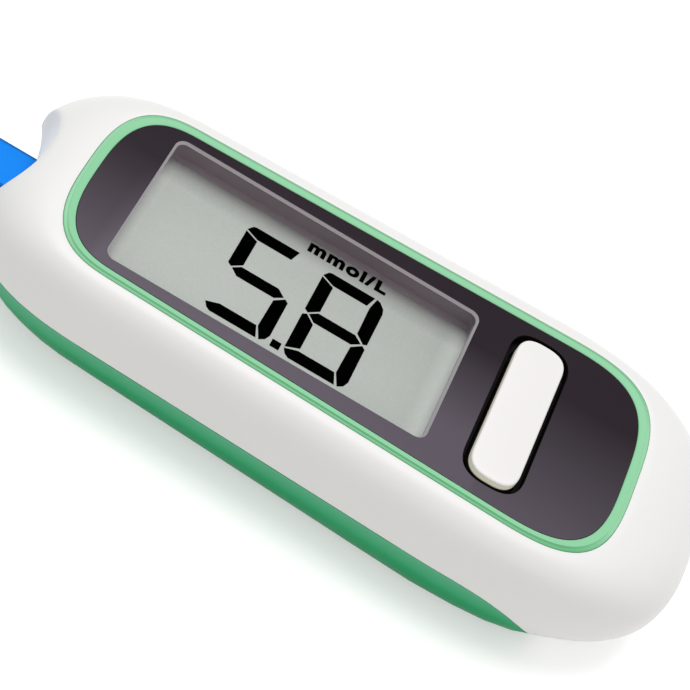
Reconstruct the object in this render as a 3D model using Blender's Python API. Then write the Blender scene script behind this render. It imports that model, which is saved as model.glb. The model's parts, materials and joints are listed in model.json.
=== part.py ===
"""Handheld blood glucose meter with a test strip in its port.

The long axis is X with the strip port at the -X end, Y points to the top of the digits and Z is up.
The base rests on Z = 0. Sizes are in millimetres and become metres when a mesh is made.
"""
import math
from dataclasses import dataclass, replace

import bmesh
import bpy
from mathutils import Matrix, Vector

MM = 0.001

# Clearances
SEAM_GAP = 0.12
SEAT_GAP = 0.3
MOVING_GAP = 0.15
CUT_OVERRUN = 2.0

# Housing: margins round the display panel, ends and walls
SIDE_MARGIN = 5.64
BUTTON_END_MARGIN = 12.6
BODY_TAPER = 0.0437
BODY_CAP_PORT = 19.5
BODY_CAP_BUTTON = 34.1
BODY_ROUND_PORT = 2.78
BODY_ROUND_BUTTON = 2.94
BASE_INSET = 4.8
BASE_RISE_PORT = 10.3
BASE_RISE_BUTTON = 9.0
SHOULDER_ROUND = 2.3
HULL_ROUND = 1.8
WALL = 1.6
FLOOR = 1.8
SHOULDER_RELIEF = 0.6

# The parting line drops to the base at the button end
PARTING_END_INSET = 12.2
PARTING_DROP_LENGTH = 13.0
PARTING_DROP_ROUND = 2.2

# Display panel and its trim ring
LENS_TAPER = 0.0339
LENS_CAP_PORT = 8.1
LENS_CAP_BUTTON = 13.7
LENS_ROUND_PORT = 2.9
LENS_ROUND_BUTTON = 3.4
LENS_THICKNESS = 1.6
LABEL_LENGTH = 11.35
DECK_THICKNESS = 1.2
RING_WIDTH = 1.5
RING_RISE = 0.35
RING_STEP_WIDTH = 0.5
RING_STEP_DROP = 0.3

# Display window and the liquid crystal cell under it
WINDOW_LENGTH = 41.0
WINDOW_WIDTH = 21.0
WINDOW_MARGIN_PORT = 5.75
WINDOW_MARGIN_SIDE = 2.26
DECK_WINDOW_MARGIN = 1.0
DECK_WINDOW_CORNER = 1.5
LCD_GLASS_MARGIN_X = 1.2
LCD_GLASS_MARGIN_Y = 1.5
LCD_GLASS_THICKNESS = 1.1
LCD_FILM_THICKNESS = 0.2
LCD_REFLECTOR_THICKNESS = 0.3
LCD_CONTACT_LEDGE = 1.3
LCD_DEPTH_BELOW_DECK = 0.2
LCD_FRAME_WALL = 1.0
LCD_FRAME_CORNER = 2.0
LCD_SHELF_THICKNESS = 1.0
ZEBRA_WIDTH = 0.9

# Button
BUTTON_WIDTH = 6.2
BUTTON_SIDE_MARGIN = 2.41
BUTTON_CAP = 3.1
BUTTON_ROUND = 2.4
BUTTON_RISE = 1.0
BUTTON_EDGE = 0.7
BUTTON_PANEL_GAP = 0.75
BUTTON_DECK_GAP = 0.9
BUTTON_FLANGE = 1.8
BUTTON_FLANGE_THICKNESS = 0.8
BUTTON_TO_DISPLAY = 0.95
BUTTON_POST_RADIUS = 1.6
BUTTON_TRAVEL = 0.5

# Switch under the button
SWITCH_SIZE = 6.0
SWITCH_CORNER = 0.5
SWITCH_HEIGHT = 2.6
SWITCH_PLUNGER_RADIUS = 1.5
SWITCH_PLUNGER_RISE = 0.9
SWITCH_PLUNGER_DEPTH = 0.9

# Circuit board
BOARD_THICKNESS = 1.0
BOARD_TO_PORT = 1.6
BOARD_PAST_SCREW = 4.0
BOARD_WALL_GAP = 0.9
BOARD_CAP_PORT = 12.0
BOARD_CAP_BUTTON = 12.0
CHIP_CLEARANCE = 0.7
CLOCK_INSET = 6.3
SUPPLY_INSET = 5.8

# Screws and their posts
SCREW_TO_DISPLAY = 0.7
SCREW_TO_CONNECTOR = 0.6
SCREW_TO_BUTTON = 2.75
SCREW_INSET = 7.2
SCREW_SHANK_RADIUS = 0.9
SCREW_HEAD_RADIUS = 1.6
SCREW_HEAD_HEIGHT = 1.1
SCREW_LENGTH = 7.6
SCREW_HEAD_SEAT = 2.6
SCREW_SLOT_WIDTH = 0.5
SCREW_SLOT_DEPTH = 0.5
POST_RADIUS = 2.6
BOSS_RADIUS = 2.2

# Strip port
PORT_DEPTH = 2.6
PORT_HALF_MOUTH = 10.5
PORT_FLARE = 0.32
SLOT_CLEARANCE = 0.4

# Test strip
STRIP_LENGTH = 32.0
STRIP_WIDTH = 6.2
STRIP_INSERTED = 8.0
STRIP_BASE_THICKNESS = 0.35
STRIP_COVER_THICKNESS = 0.25
STRIP_CONTACT_LENGTH = 5.5
STRIP_CORNER = 0.6
STRIP_ABOVE_BOARD = 1.0

# Strip connector
CONNECTOR_TO_WALL = 1.1
CONNECTOR_TO_DISPLAY = 1.6
CONNECTOR_SIDE = 1.6
CONNECTOR_HEIGHT = 3.4
CONNECTOR_WALL = 1.0
CONTACT_PITCH = 1.7
CONTACT_WIDTH = 0.6
CONTACT_THICKNESS = 0.2

# Coin cell, its bay and its contacts
CELL_RADIUS = 10.0
CELL_HEIGHT = 3.2
CELL_CAP_RADIUS = 8.4
CELL_CAP_HEIGHT = 0.5
CELL_GASKET_WIDTH = 0.5
CELL_TO_BOARD = 0.95
BAY_CLEARANCE = 0.35
BAY_WALL = 1.0
BAY_TO_BOARD = 0.7
LEAF_THICKNESS = 0.25
LEAF_WIDTH = 5.0

# Battery door
DOOR_TO_SCREW = 3.1
DOOR_LAP_END = 2.65
DOOR_LAP_SIDE = 1.65
DOOR_CORNER = 2.0
DOOR_THICKNESS = 1.0
DOOR_LEDGE_HOOK = 0.8
HOOK_WIDTH = 4.0
HOOK_SPACING = 14.0
HOOK_THICKNESS = 0.6
HOOK_NECK = 0.8
HOOK_REACH = 1.25
HOOK_SPACE = 0.3
HOOK_SWING = 1.6
DOOR_RIB_WIDTH = 1.2
DOOR_RIB_LENGTH = 12.0
DOOR_RIB_HEIGHT = 0.45
DOOR_RIB_SPACING = 8.0
THUMB_RADIUS = 5.0
THUMB_DEPTH = 0.5
THUMB_REACH = 2.2

# Fineness of the curved faces
CAP_STEPS = 12
SIDE_STEPS = 6
HULL_STEPS = 8
SHOULDER_STEPS = 9
CAVITY_STEPS = 5
PARTING_STEPS = 10
SCOOP_SIDES = 96
BUTTON_EDGE_STEPS = 3
ROUND_SIDES = 24
SCREW_SIDES = 16

BODY_COLLECTION = "blood_glucose_meter"
CUTTER_COLLECTION = "cutters"


@dataclass(frozen=True)
class Outline:
    """Closed outline, symmetric about X: straight tapered sides with a superelliptic cap at each end."""
    left: float
    right: float
    half_width: float
    taper: float
    cap_left: float
    cap_right: float
    round_left: float
    round_right: float

    def grown(self, distance):
        return replace(
            self,
            left=self.left - distance,
            right=self.right + distance,
            half_width=self.half_width + distance,
            cap_left=self.cap_left + distance,
            cap_right=self.cap_right + distance,
        )

    def half_width_at(self, x):
        return self.half_width + self.taper * x

    def points(self):
        """Points anticlockwise from the right-hand tip, in the same order for every outline."""
        upper = []
        for step in range(CAP_STEPS):
            angle = 0.5 * math.pi * step / CAP_STEPS
            x = self.right - self.cap_right * (1 - math.cos(angle) ** (2 / self.round_right))
            upper.append((x, self.half_width_at(x) * math.sin(angle) ** (2 / self.round_right)))
        side_start = self.right - self.cap_right
        side_end = self.left + self.cap_left
        for step in range(SIDE_STEPS):
            x = side_start + (side_end - side_start) * step / SIDE_STEPS
            upper.append((x, self.half_width_at(x)))
        for step in range(CAP_STEPS, -1, -1):
            angle = 0.5 * math.pi * step / CAP_STEPS
            x = self.left + self.cap_left * (1 - math.cos(angle) ** (2 / self.round_left))
            upper.append((x, self.half_width_at(x) * math.sin(angle) ** (2 / self.round_left)))
        lower = [(x, -y) for x, y in reversed(upper[1:-1])]
        return upper + lower


# Finishes: name, base colour, roughness and, where it is a metal, metallic value
WHITE_PLASTIC = ("white_plastic", (0.86, 0.86, 0.85), 0.35)
GREEN_PLASTIC = ("green_plastic", (0.045, 0.34, 0.15), 0.4)
MINT_PLASTIC = ("mint_plastic", (0.30, 0.73, 0.40), 0.35)
DARK_PANEL = ("dark_panel", (0.05, 0.04, 0.05), 0.1)
BUTTON_PLASTIC = ("button_plastic", (0.88, 0.87, 0.86), 0.4)
BLACK_PLASTIC = ("black_plastic", (0.02, 0.02, 0.02), 0.5)
LCD_GLASS = ("lcd_glass", (0.45, 0.48, 0.45), 0.15)
LCD_REFLECTOR = ("lcd_reflector", (0.46, 0.5, 0.46), 0.5)
RUBBER = ("conductive_rubber", (0.12, 0.12, 0.13), 0.8)
BOARD_LAMINATE = ("board_laminate", (0.02, 0.16, 0.06), 0.5)
CHIP_EPOXY = ("chip_epoxy", (0.015, 0.015, 0.015), 0.6)
CERAMIC = ("capacitor_ceramic", (0.35, 0.24, 0.14), 0.5)
STEEL = ("steel", (0.6, 0.6, 0.6), 0.3, 1.0)
GOLD_SPRING = ("gold_spring", (0.75, 0.55, 0.25), 0.3, 1.0)
CONNECTOR_PLASTIC = ("connector_plastic", (0.6, 0.58, 0.5), 0.5)
STRIP_BLUE = ("strip_blue", (0.01, 0.28, 0.95), 0.35)
STRIP_FILM = ("strip_film", (0.02, 0.2, 0.8), 0.4)

# Parts on top of the board, placed from the middle of the display:
# name, centre x, centre y, length, width, height, finish
BOARD_PARTS = (
    ("microcontroller", 3.7, 0.0, 10.0, 10.0, 1.4, CHIP_EPOXY),
    ("analog_chip", -12.3, 3.5, 5.0, 4.4, 1.2, CHIP_EPOXY),
    ("memory_chip", -10.8, -5.0, 5.0, 4.0, 1.2, CHIP_EPOXY),
    ("crystal", WINDOW_LENGTH / 2 - CLOCK_INSET, 5.0, 7.0, 1.8, 1.5, STEEL),
    ("capacitor_1", WINDOW_LENGTH / 2 - SUPPLY_INSET, -4.0, 2.0, 1.25, 1.0, CERAMIC),
    ("capacitor_2", WINDOW_LENGTH / 2 - SUPPLY_INSET, -7.0, 2.0, 1.25, 1.0, CERAMIC),
    ("capacitor_3", -4.3, 6.0, 2.0, 1.25, 1.0, CERAMIC),
    ("capacitor_4", -4.3, -6.0, 2.0, 1.25, 1.0, CERAMIC),
)

# Heights, built up from the door over the cell, the board and the display to the top
CELL_BOTTOM = DOOR_THICKNESS + DOOR_RIB_HEIGHT + SEAT_GAP
CELL_TOP = CELL_BOTTOM + CELL_HEIGHT
BOARD_BOTTOM = CELL_TOP + CELL_TO_BOARD
BOARD_TOP = BOARD_BOTTOM + BOARD_THICKNESS
BAY_TOP = BOARD_BOTTOM - BAY_TO_BOARD
STRIP_PLANE = BOARD_TOP + STRIP_ABOVE_BOARD
PARTING_HEIGHT = STRIP_PLANE
LCD_SHELF_BOTTOM = BOARD_TOP + max(part[5] for part in BOARD_PARTS) + CHIP_CLEARANCE
LCD_REFLECTOR_BOTTOM = LCD_SHELF_BOTTOM + LCD_SHELF_THICKNESS
LCD_REAR_BOTTOM = LCD_REFLECTOR_BOTTOM + LCD_REFLECTOR_THICKNESS
LCD_FRONT_BOTTOM = LCD_REAR_BOTTOM + LCD_GLASS_THICKNESS
LCD_FILM_BOTTOM = LCD_FRONT_BOTTOM + LCD_GLASS_THICKNESS
LCD_FILM_TOP = LCD_FILM_BOTTOM + LCD_FILM_THICKNESS
DECK_BOTTOM = LCD_FILM_TOP + LCD_DEPTH_BELOW_DECK
DECK_TOP = DECK_BOTTOM + DECK_THICKNESS
BODY_HEIGHT = DECK_TOP + LENS_THICKNESS

# Lengths, laid out from the port over the connector, the display and the button to the far end
LCD_BORDER_X = LCD_GLASS_MARGIN_X + SEAT_GAP + LCD_FRAME_WALL
STRIP_END_DEPTH = PORT_DEPTH + STRIP_INSERTED
CONNECTOR_END_DEPTH = STRIP_END_DEPTH + SEAT_GAP + CONNECTOR_WALL
DISPLAY_DEPTH = CONNECTOR_END_DEPTH + CONNECTOR_TO_DISPLAY
WINDOW_DEPTH = DISPLAY_DEPTH + LCD_BORDER_X
BUTTON_DEPTH = WINDOW_DEPTH + WINDOW_LENGTH + LCD_BORDER_X + BUTTON_TO_DISPLAY + BUTTON_FLANGE
LENS_END_DEPTH = BUTTON_DEPTH + BUTTON_WIDTH + LABEL_LENGTH
BODY_LENGTH = LENS_END_DEPTH + BUTTON_END_MARGIN
PORT_END = -BODY_LENGTH / 2
BUTTON_END = BODY_LENGTH / 2
PORT_MOUTH = PORT_END + PORT_DEPTH
STRIP_INNER_END = PORT_END + STRIP_END_DEPTH
STRIP_OVERHANG = STRIP_LENGTH - STRIP_END_DEPTH
CONNECTOR_END = PORT_END + CONNECTOR_END_DEPTH
CONNECTOR_START = PORT_MOUTH + WALL + CONNECTOR_TO_WALL
DISPLAY_START = PORT_END + DISPLAY_DEPTH
WINDOW_CENTRE = PORT_END + WINDOW_DEPTH + WINDOW_LENGTH / 2
LENS_LEFT = PORT_END + WINDOW_DEPTH - WINDOW_MARGIN_PORT
LENS_RIGHT = PORT_END + LENS_END_DEPTH
BUTTON_X = PORT_END + BUTTON_DEPTH + BUTTON_WIDTH / 2
SCREW_X_PORT = DISPLAY_START - SCREW_TO_DISPLAY - BOSS_RADIUS
SCREW_X_BUTTON = BUTTON_X + BUTTON_WIDTH / 2 + BUTTON_FLANGE + SCREW_TO_BUTTON + BOSS_RADIUS
DOOR_RIGHT = SCREW_X_BUTTON - SCREW_HEAD_RADIUS - SEAT_GAP - DOOR_TO_SCREW
DOOR_LENGTH = 2 * (CELL_RADIUS + BAY_CLEARANCE + DOOR_LAP_END)
DOOR_LEFT = DOOR_RIGHT - DOOR_LENGTH
CELL_X = (DOOR_LEFT + DOOR_RIGHT) / 2
HOOK_NECK_LEFT = DOOR_LEFT + DOOR_LEDGE_HOOK + SEAT_GAP
BOARD_LEFT = PORT_MOUTH + WALL + BOARD_TO_PORT
BOARD_RIGHT = SCREW_X_BUTTON + BOARD_PAST_SCREW
PARTING_DROP_END = BUTTON_END - PARTING_END_INSET
PARTING_DROP_START = PARTING_DROP_END - PARTING_DROP_LENGTH

# Widths, from the display out to the housing
LENS_HALF_WIDTH = WINDOW_WIDTH / 2 + WINDOW_MARGIN_SIDE
BODY_HALF_WIDTH = LENS_HALF_WIDTH + SIDE_MARGIN
DOOR_WIDTH = 2 * (CELL_RADIUS + BAY_CLEARANCE + DOOR_LAP_SIDE)
SLOT_WIDTH = STRIP_WIDTH + 2 * SLOT_CLEARANCE
CONNECTOR_WIDTH = STRIP_WIDTH + 2 * (SEAT_GAP + CONNECTOR_SIDE)
SCREW_Y_PORT = CONNECTOR_WIDTH / 2 + SCREW_TO_CONNECTOR + POST_RADIUS
SCREW_Y_BUTTON = BODY_HALF_WIDTH - SCREW_INSET
SCREW_PLACES = [
    (x, side * y)
    for x, y in ((SCREW_X_PORT, SCREW_Y_PORT), (SCREW_X_BUTTON, SCREW_Y_BUTTON))
    for side in (-1, 1)
]

BODY = Outline(
    PORT_END, BUTTON_END, BODY_HALF_WIDTH, BODY_TAPER,
    BODY_CAP_PORT, BODY_CAP_BUTTON, BODY_ROUND_PORT, BODY_ROUND_BUTTON,
)
BASE = replace(
    BODY.grown(-BASE_INSET),
    left=BODY.left + BASE_RISE_PORT,
    right=BODY.right - BASE_RISE_BUTTON,
)
LENS = Outline(
    LENS_LEFT, LENS_RIGHT, LENS_HALF_WIDTH, LENS_TAPER,
    LENS_CAP_PORT, LENS_CAP_BUTTON, LENS_ROUND_PORT, LENS_ROUND_BUTTON,
)
RING = LENS.grown(RING_WIDTH)
BUTTON_LENGTH = 2 * (LENS.half_width_at(BUTTON_X) - BUTTON_SIDE_MARGIN)


def clear_scene():
    for item in list(bpy.data.objects):
        bpy.data.objects.remove(item, do_unlink=True)


def collection(name):
    found = bpy.data.collections.get(name)
    if found is None:
        found = bpy.data.collections.new(name)
        bpy.context.scene.collection.children.link(found)
    return found


def material(name, colour, roughness, metallic=0.0):
    made = bpy.data.materials.get(name) or bpy.data.materials.new(name)
    made.use_nodes = True
    shader = made.node_tree.nodes["Principled BSDF"]
    shader.inputs["Base Color"].default_value = (*colour, 1.0)
    shader.inputs["Roughness"].default_value = roughness
    shader.inputs["Metallic"].default_value = metallic
    return made


def new_object(name, bm, origin=(0, 0, 0), finish=None, parent=None):
    """Object from a mesh built in body coordinates and millimetres, with its origin where asked."""
    bmesh.ops.recalc_face_normals(bm, faces=bm.faces)
    place = Vector(origin) * MM
    bm.transform(Matrix.Translation(-place) @ Matrix.Scale(MM, 4))
    mesh = bpy.data.meshes.new(name)
    bm.to_mesh(mesh)
    bm.free()
    made = bpy.data.objects.new(name, mesh)
    made.location = place
    if finish is None:
        collection(CUTTER_COLLECTION).objects.link(made)
        made.hide_render = True
        made.display_type = "WIRE"
    else:
        collection(BODY_COLLECTION).objects.link(made)
        mesh.materials.append(material(*finish))
    made.parent = parent
    return made


def smooth(made, angle=35):
    made.data.shade_smooth()
    made.data.set_sharp_from_angle(angle=math.radians(angle))


def cut(target, cutter):
    step = target.modifiers.new(f"cut_{cutter.name}", "BOOLEAN")
    step.operation = "DIFFERENCE"
    step.object = cutter


def join(target, addition):
    step = target.modifiers.new(f"join_{addition.name}", "BOOLEAN")
    step.operation = "UNION"
    step.object = addition


def keep_inside(target, region):
    step = target.modifiers.new(f"keep_{region.name}", "BOOLEAN")
    step.operation = "INTERSECT"
    step.object = region


def loft(sections):
    """Closed solid through rings of equally many points, capped at both ends."""
    bm = bmesh.new()
    rings = [[bm.verts.new(point) for point in section] for section in sections]
    for low, high in zip(rings, rings[1:]):
        for i in range(len(low)):
            j = (i + 1) % len(low)
            bm.faces.new((low[i], low[j], high[j], high[i]))
    bm.faces.new(list(reversed(rings[0])))
    bm.faces.new(rings[-1])
    return bm


def level(points, z):
    return [(x, y, z) for x, y in points]


def plate(points, z_low, z_high):
    """Flat outline raised from z_low to z_high."""
    bm = bmesh.new()
    corners = [bm.verts.new((x, y, z_low)) for x, y in points]
    bm.faces.new(corners)
    raised = bmesh.ops.extrude_face_region(bm, geom=bm.faces[:])
    top = [item for item in raised["geom"] if isinstance(item, bmesh.types.BMVert)]
    bmesh.ops.translate(bm, verts=top, vec=(0, 0, z_high - z_low))
    return bm


def box(x_span, y_span, z_span, corner=0.0, corner_steps=4):
    """Block between two limits on each axis, with its upright edges rounded if asked."""
    bm = bmesh.new()
    bmesh.ops.create_cube(bm, size=1.0)
    size = [high - low for low, high in (x_span, y_span, z_span)]
    centre = [(high + low) / 2 for low, high in (x_span, y_span, z_span)]
    bmesh.ops.scale(bm, verts=bm.verts[:], vec=size)
    bmesh.ops.translate(bm, verts=bm.verts[:], vec=centre)
    if corner > 0:
        upright = [e for e in bm.edges if abs(e.verts[0].co.z - e.verts[1].co.z) > size[2] / 2]
        bmesh.ops.bevel(
            bm, geom=upright, offset=corner, segments=corner_steps,
            affect="EDGES", profile=0.5, material=-1,
        )
    return bm


def centred(middle, length):
    return (middle - length / 2, middle + length / 2)


def drum(x, y, z_low, z_high, radius, top_radius=None, sides=ROUND_SIDES):
    """Upright cylinder, or a cone frustum if the top radius differs."""
    bm = bmesh.new()
    bmesh.ops.create_cone(
        bm, cap_ends=True, segments=sides, radius1=radius,
        radius2=radius if top_radius is None else top_radius, depth=z_high - z_low,
    )
    bmesh.ops.translate(bm, verts=bm.verts[:], vec=(x, y, (z_low + z_high) / 2))
    return bm


def bevel_level(bm, z, width, steps):
    """Round the edges that lie at one height."""
    edges = [e for e in bm.edges if all(abs(v.co.z - z) < 1e-4 for v in e.verts) and len(e.link_faces) == 2]
    edges = [e for e in edges if e.calc_face_angle(0.0) > math.radians(30)]
    bmesh.ops.bevel(
        bm, geom=edges, offset=width, segments=steps, affect="EDGES", profile=0.5, material=-1,
    )


def blend(first, second, share):
    return [(a[0] + (b[0] - a[0]) * share, a[1] + (b[1] - a[1]) * share) for a, b in zip(first, second)]


def body_sections(inset, floor, top_outline, top, hull_steps, shoulder_steps):
    """Sections of the body from its floor over the parting plane to the top, all moved in by one wall."""
    widest = BODY.grown(-inset).points()
    low = BASE.grown(-inset).points()
    high = top_outline.points()
    sections = []
    for step in range(hull_steps):
        angle = 0.5 * math.pi * (1 - step / hull_steps)
        share = math.cos(angle) ** (2 / HULL_ROUND)
        drop = math.sin(angle) ** (2 / HULL_ROUND)
        z = PARTING_HEIGHT - (PARTING_HEIGHT - floor) * drop
        sections.append(level(blend(low, widest, share), z))
    for step in range(shoulder_steps + 1):
        angle = 0.5 * math.pi * step / shoulder_steps
        share = math.cos(angle) ** (2 / SHOULDER_ROUND)
        rise = math.sin(angle) ** (2 / SHOULDER_ROUND)
        z = PARTING_HEIGHT + (top - PARTING_HEIGHT) * rise
        sections.append(level(blend(high, widest, share), z))
    return sections


def parting_region(offset):
    """Everything below the parting surface, which is flat and then drops to the base at the button end."""
    left = BODY.left - CUT_OVERRUN
    drop_length = PARTING_DROP_END - PARTING_DROP_START
    profile = [(left, -CUT_OVERRUN), (PARTING_DROP_END + offset, -CUT_OVERRUN)]
    for step in range(PARTING_STEPS + 1):
        angle = 0.5 * math.pi * step / PARTING_STEPS
        x = PARTING_DROP_START + drop_length * math.cos(angle) ** (2 / PARTING_DROP_ROUND)
        z = PARTING_HEIGHT * math.sin(angle) ** (2 / PARTING_DROP_ROUND)
        profile.append((x + offset * math.cos(angle), z + offset * math.sin(angle)))
    profile.append((left, PARTING_HEIGHT + offset))
    reach = BODY.half_width_at(BODY.right) + CUT_OVERRUN
    return loft([
        [(x, -reach, z) for x, z in profile],
        [(x, reach, z) for x, z in profile],
    ])


def build_covers(parent):
    """White top cover and green bottom cover, cut from one hollow body along the parting surface."""
    top = new_object(
        "top_cover", loft(body_sections(0, 0, RING, BODY_HEIGHT, HULL_STEPS, SHOULDER_STEPS)),
        finish=WHITE_PLASTIC, parent=parent,
    )
    bottom = new_object(
        "bottom_cover", loft(body_sections(0, 0, RING, BODY_HEIGHT, HULL_STEPS, SHOULDER_STEPS)),
        finish=GREEN_PLASTIC, parent=parent,
    )
    port = new_object("port_scoop", port_scoop(0), parent=parent)
    slot = new_object(
        "port_slot",
        box(
            (BODY.left - CUT_OVERRUN, PORT_MOUTH + WALL + CUT_OVERRUN),
            centred(0, SLOT_WIDTH),
            (STRIP_PLANE - STRIP_BASE_THICKNESS - SEAT_GAP, STRIP_PLANE + STRIP_COVER_THICKNESS + SEAT_GAP),
        ),
        parent=parent,
    )
    build_top_cover(top, port, slot, parent)
    build_bottom_cover(bottom, port, slot, parent)


def cavity_for(cover, parent):
    """Hollow of the body, kept one wall away from the scoop at the strip end."""
    hollow = body_sections(WALL, FLOOR, RING.grown(SHOULDER_RELIEF), DECK_BOTTOM, CAVITY_STEPS, CAVITY_STEPS)
    cavity = new_object(f"cavity_{cover}", loft(hollow), parent=parent)
    cut(cavity, new_object(f"port_wall_{cover}", port_scoop(WALL), parent=parent))
    return cavity


def port_scoop(grow):
    """Hollow at the strip end: a wide cone that flares upwards, over a plain drum below the parting plane."""
    radius = (PORT_HALF_MOUTH ** 2 + PORT_DEPTH ** 2) / (2 * PORT_DEPTH) + grow
    centre = PORT_MOUTH + grow - radius
    top = BODY_HEIGHT + CUT_OVERRUN
    flared = radius + PORT_FLARE * (top - PARTING_HEIGHT)
    sections = []
    for z, size in ((-CUT_OVERRUN, radius), (PARTING_HEIGHT, radius), (top, flared)):
        ring = []
        for side in range(SCOOP_SIDES):
            angle = 2 * math.pi * side / SCOOP_SIDES
            ring.append((centre + size * math.cos(angle), size * math.sin(angle), z))
        sections.append(ring)
    return loft(sections)


def build_top_cover(top, port, slot, parent):
    """Cover with its deck under the panel and four bosses that stand in the hollow."""
    below = new_object("below_parting_for_top", parting_region(SEAM_GAP / 2), parent=parent)
    pocket = new_object(
        "panel_pocket",
        plate(RING.grown(SEAM_GAP).points(), DECK_TOP, BODY_HEIGHT + CUT_OVERRUN),
        parent=parent,
    )
    window = new_object(
        "deck_window",
        box(
            centred(WINDOW_CENTRE, WINDOW_LENGTH + 2 * DECK_WINDOW_MARGIN),
            centred(0, WINDOW_WIDTH + 2 * DECK_WINDOW_MARGIN),
            (DECK_BOTTOM - CUT_OVERRUN, DECK_TOP + CUT_OVERRUN),
            corner=DECK_WINDOW_CORNER,
        ),
        parent=parent,
    )
    button_slot = new_object(
        "deck_button_slot",
        plate(
            button_outline(BUTTON_DECK_GAP).points_along_y(),
            DECK_BOTTOM - CUT_OVERRUN, DECK_TOP + CUT_OVERRUN,
        ),
        parent=parent,
    )
    cavity = cavity_for("top", parent)
    for index, (x, y) in enumerate(SCREW_PLACES, start=1):
        boss = new_object(
            f"boss_{index}", drum(x, y, BOARD_TOP, DECK_BOTTOM + CUT_OVERRUN, BOSS_RADIUS), parent=parent,
        )
        cut(cavity, boss)
        cut(below, boss)
    cut(top, cavity)
    cut(top, below)
    cut(top, pocket)
    cut(top, window)
    cut(top, button_slot)
    cut(top, port)
    cut(top, slot)
    for index, (x, y) in enumerate(SCREW_PLACES, start=1):
        pilot = new_object(
            f"pilot_{index}",
            drum(
                x, y, BOARD_TOP - CUT_OVERRUN, SCREW_HEAD_SEAT + SCREW_LENGTH + SEAT_GAP,
                SCREW_SHANK_RADIUS + SEAT_GAP, sides=SCREW_SIDES,
            ),
            parent=parent,
        )
        cut(top, pilot)
    smooth(top)


def build_bottom_cover(bottom, port, slot, parent):
    """Cover with the battery bay, the door's recess and four screw posts that stand in the hollow."""
    below = new_object("below_parting_for_bottom", parting_region(-SEAM_GAP / 2), parent=parent)
    cavity = cavity_for("bottom", parent)
    bay = new_object(
        "bay_ring",
        drum(CELL_X, 0, -CUT_OVERRUN, BAY_TOP, CELL_RADIUS + BAY_CLEARANCE + BAY_WALL, sides=2 * ROUND_SIDES),
        parent=parent,
    )
    cut(cavity, bay)
    for index, (x, y) in enumerate(SCREW_PLACES, start=1):
        post = new_object(f"post_{index}", drum(x, y, -CUT_OVERRUN, BOARD_BOTTOM, POST_RADIUS), parent=parent)
        cut(cavity, post)
    keep_inside(bottom, below)
    cut(bottom, cavity)
    cut(bottom, port)
    cut(bottom, slot)
    hollow = new_object(
        "bay_hollow",
        drum(
            CELL_X, 0, -CUT_OVERRUN, BAY_TOP + CUT_OVERRUN, CELL_RADIUS + BAY_CLEARANCE,
            sides=2 * ROUND_SIDES,
        ),
        parent=parent,
    )
    cut(bottom, hollow)
    contact_gap = new_object(
        "bay_contact_gap",
        box(
            (CELL_X + CELL_RADIUS / 2, CELL_X + CELL_RADIUS + BAY_CLEARANCE + BAY_WALL + CUT_OVERRUN),
            centred(0, LEAF_WIDTH + 2 * SEAT_GAP),
            (FLOOR, BAY_TOP + CUT_OVERRUN),
        ),
        parent=parent,
    )
    cut(bottom, contact_gap)
    recess = new_object(
        "door_recess",
        box(
            (DOOR_LEFT, DOOR_RIGHT), centred(0, DOOR_WIDTH), (-CUT_OVERRUN, DOOR_THICKNESS + MOVING_GAP),
            corner=DOOR_CORNER,
        ),
        parent=parent,
    )
    cut(bottom, recess)
    for name, side in (("near", -1), ("far", 1)):
        opening = new_object(
            f"hook_opening_{name}",
            box(
                (DOOR_LEFT + DOOR_LEDGE_HOOK, HOOK_NECK_LEFT + HOOK_NECK + HOOK_SWING),
                centred(side * HOOK_SPACING / 2, HOOK_WIDTH + 2 * SEAT_GAP),
                (-CUT_OVERRUN, FLOOR + HOOK_SPACE + HOOK_THICKNESS + SEAT_GAP),
            ),
            parent=parent,
        )
        cut(bottom, opening)
    for index, (x, y) in enumerate(SCREW_PLACES, start=1):
        well = new_object(
            f"screw_well_{index}",
            drum(x, y, -CUT_OVERRUN, SCREW_HEAD_SEAT, SCREW_HEAD_RADIUS + SEAT_GAP, sides=SCREW_SIDES),
            parent=parent,
        )
        hole = new_object(
            f"screw_hole_{index}",
            drum(
                x, y, -CUT_OVERRUN, BOARD_TOP + CUT_OVERRUN, SCREW_SHANK_RADIUS + SEAT_GAP, sides=SCREW_SIDES,
            ),
            parent=parent,
        )
        cut(bottom, well)
        cut(bottom, hole)
    smooth(bottom)


@dataclass(frozen=True)
class ButtonOutline:
    """Rounded slot shape with its length along Y."""
    shape: Outline

    def points_along_y(self):
        return [(BUTTON_X - y, x) for x, y in self.shape.points()]


def button_outline(grow):
    shape = Outline(
        -BUTTON_LENGTH / 2, BUTTON_LENGTH / 2, BUTTON_WIDTH / 2, 0.0,
        BUTTON_CAP, BUTTON_CAP, BUTTON_ROUND, BUTTON_ROUND,
    )
    return ButtonOutline(shape.grown(grow))


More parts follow.
